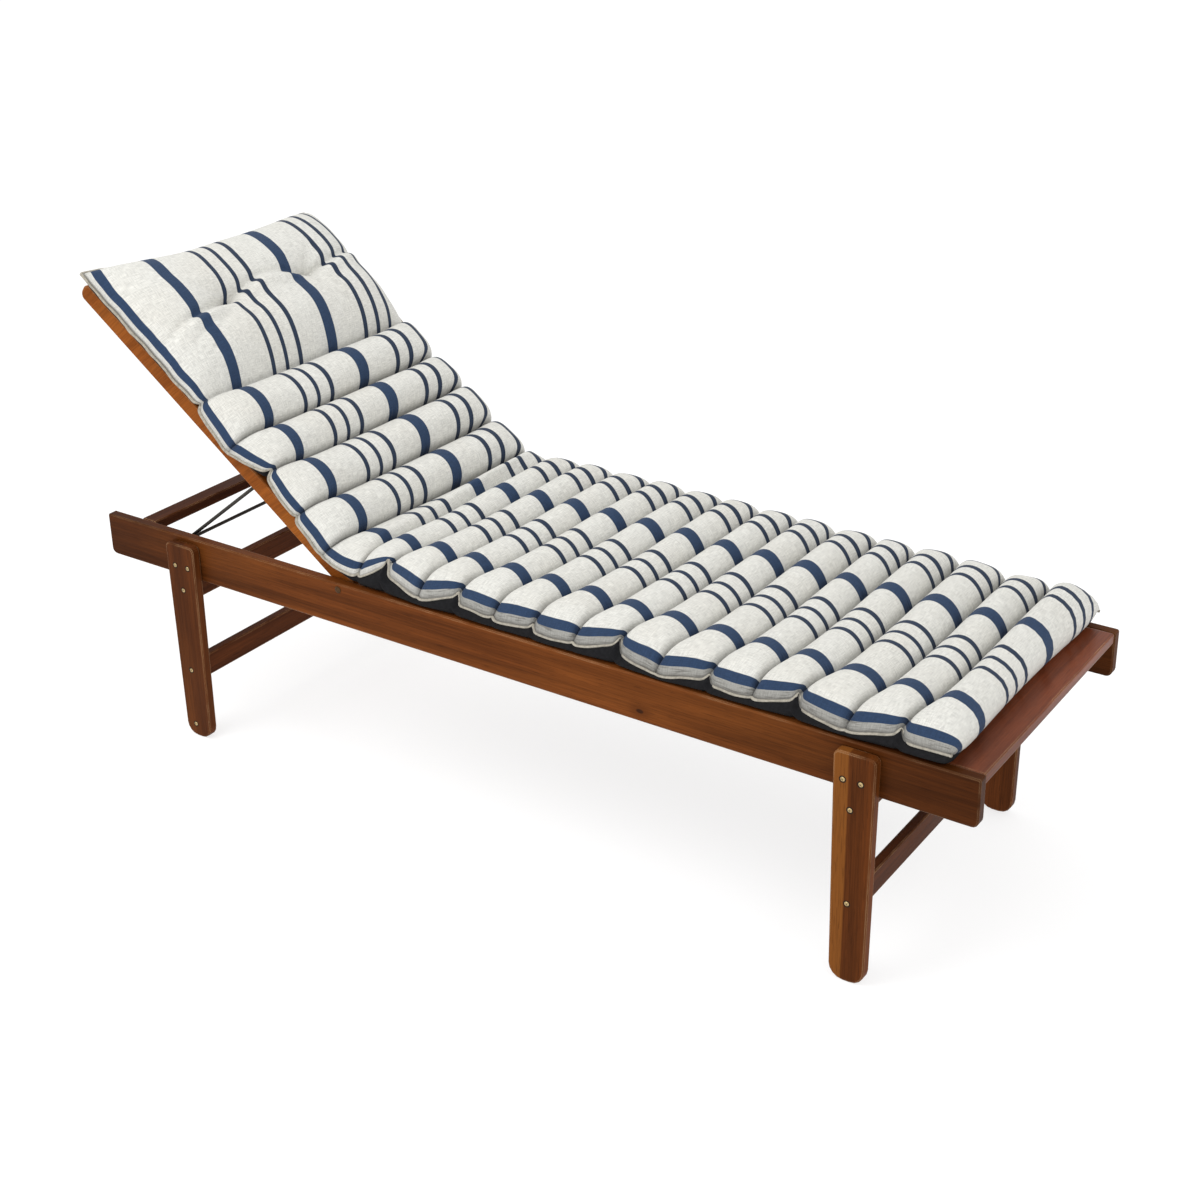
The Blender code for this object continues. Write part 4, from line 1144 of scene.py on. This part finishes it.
def make_cushion(cloth, dark):
    """Makes the cushion's cover and returns the points of its top."""
    rows, share, tops, bases = cushion_points()
    along, across = cloth_coordinates(rows, share, tops)
    points = np.concatenate((tops.reshape(-1, 3), bases[1:-1, 1:-1].reshape(-1, 3)))
    faces = cover_faces(*tops.shape[:2])
    mesh = mesh_from("cushion_cover", points, faces)
    mesh.materials.append(cloth)
    mesh.materials.append(dark)
    half = len(faces) // 2
    mesh.polygons.foreach_set("material_index", [0] * half + [1] * half)
    loops = np.empty(len(mesh.loops), dtype=np.int32)
    mesh.loops.foreach_get("vertex_index", loops)
    to_channel = channel_distance(rows) + 0.0 * share
    from_foot = rows.distance + 0.0 * share
    for name, first, second in (("cloth", along, across), ("channel", to_channel, from_foot)):
        coordinates = np.stack((on_cover(first), on_cover(second)), axis=-1)
        mesh.uv_layers.new(name=name).data.foreach_set("uv", coordinates[loops].ravel())
    cushion = linked("cushion_cover", mesh)
    smoothed(cushion)
    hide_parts("cushion")
    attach(cushion, "root")
    return tops


def unit(vectors):
    return vectors / np.linalg.norm(vectors, axis=1, keepdims=True)


def ridge_rings(tops):
    """The path round the cushion's seam as rings of points, each with its own width and tilt."""
    path = np.concatenate((tops[1:, 0], tops[-1, 1:], tops[-2:0:-1, -1]))
    middle = tops.reshape(-1, 3).mean(axis=0)
    along = unit(np.gradient(path, axis=0))
    outward = unit(np.cross(along, (0.0, 0.0, 1.0)))
    inward = np.sum(outward * (path - middle), axis=1) < 0.0
    outward[inward] *= -1.0
    upward = np.cross(outward, along)
    upward[upward[:, 2] < 0.0] *= -1.0
    rings = []
    for index, point in enumerate(path):
        wobble = noise.noise(Vector(point) * 60.0)
        width = RIDGE_WIDTH * (1.0 + 0.25 * wobble)
        tilt = RIDGE_TILT + 0.5 * noise.noise(Vector(point) * 35.0)
        out = outward[index] * math.cos(tilt) + upward[index] * math.sin(tilt)
        off = upward[index] * math.cos(tilt) - outward[index] * math.sin(tilt)
        ring = []
        for step in range(RIDGE_SIDES):
            angle = 2.0 * math.pi * step / RIDGE_SIDES
            ring.append(point + out * (width * (0.35 + 0.65 * math.cos(angle)))
                        + off * (RIDGE_THICK / 2 * math.sin(angle)))
        rings.append(ring)
    return rings


def make_seam_ridge(tops, finish):
    """The turned seam allowance that runs round the cushion as a small standing ridge."""
    rings = ridge_rings(tops)
    points = [point for ring in rings for point in ring]
    mesh = mesh_from("seam_ridge", points, ring_faces(len(rings), RIDGE_SIDES))
    mesh.materials.append(finish)
    ridge = linked("seam_ridge", mesh)
    smoothed(ridge)
    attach(ridge, "root")


def place_camera():
    data = bpy.data.cameras.new("camera")
    data.sensor_width = SENSOR_MM
    data.lens = SENSOR_MM * FOCAL_PIXELS / IMAGE_PIXELS
    data.shift_y = (AXIS_ROW - IMAGE_PIXELS / 2) / IMAGE_PIXELS
    data.clip_end = 50.0
    camera = linked("camera", data)
    back = Vector((
        math.sin(CAMERA_AZIMUTH) * math.cos(CAMERA_ELEVATION),
        -math.cos(CAMERA_AZIMUTH) * math.cos(CAMERA_ELEVATION),
        math.sin(CAMERA_ELEVATION),
    ))
    right = Vector((0.0, 0.0, 1.0)).cross(back).normalized()
    up = back.cross(right)
    turned_right = right * math.cos(CAMERA_ROLL) + up * math.sin(CAMERA_ROLL)
    turned_up = up * math.cos(CAMERA_ROLL) - right * math.sin(CAMERA_ROLL)
    pose = Matrix((turned_right, turned_up, back)).transposed().to_4x4()
    pose.translation = CAMERA_AT
    camera.matrix_world = pose
    bpy.context.scene.camera = camera


def add_area_light(name, place, aim, size, power):
    data = bpy.data.lights.new(name, "AREA")
    data.shape = "DISK"
    data.size = size
    data.energy = power
    light = linked(name, data)
    light.location = place
    light.rotation_euler = (Vector(aim) - Vector(place)).to_track_quat("-Z", "Y").to_euler()


def make_studio():
    world = bpy.data.worlds.new("studio")
    world.use_nodes = True
    backdrop = world.node_tree.nodes["Background"]
    backdrop.inputs["Color"].default_value = (1.0, 1.0, 1.0, 1.0)
    backdrop.inputs["Strength"].default_value = 1.0
    bpy.context.scene.world = world
    bpy.context.scene.view_settings.view_transform = "Standard"
    for row in LIGHT_ROWS:
        add_area_light(**dict(zip(LIGHT_COLUMNS, row)))
    signs = ((-1, -1), (1, -1), (1, 1), (-1, 1))
    corners = [(x_sign * FLOOR_REACH, y_sign * FLOOR_REACH, 0.0) for x_sign, y_sign in signs]
    mesh = mesh_from("floor", corners, [(0, 1, 2, 3)])
    floor = linked("floor", mesh)
    nodes = Nodes("floor_paper")
    mesh.materials.append(nodes.surface(PAPER))


place_camera()
make_studio()
cushion_top = make_cushion(cloth_material(), plain_cloth("dark underside", UNDERSIDE_DARK, 0.6))
dress_lounger()
make_screws()
make_bail()
make_seam_ridge(cushion_top, plain_cloth("seam canvas", SEAM_BEIGE, -0.35))
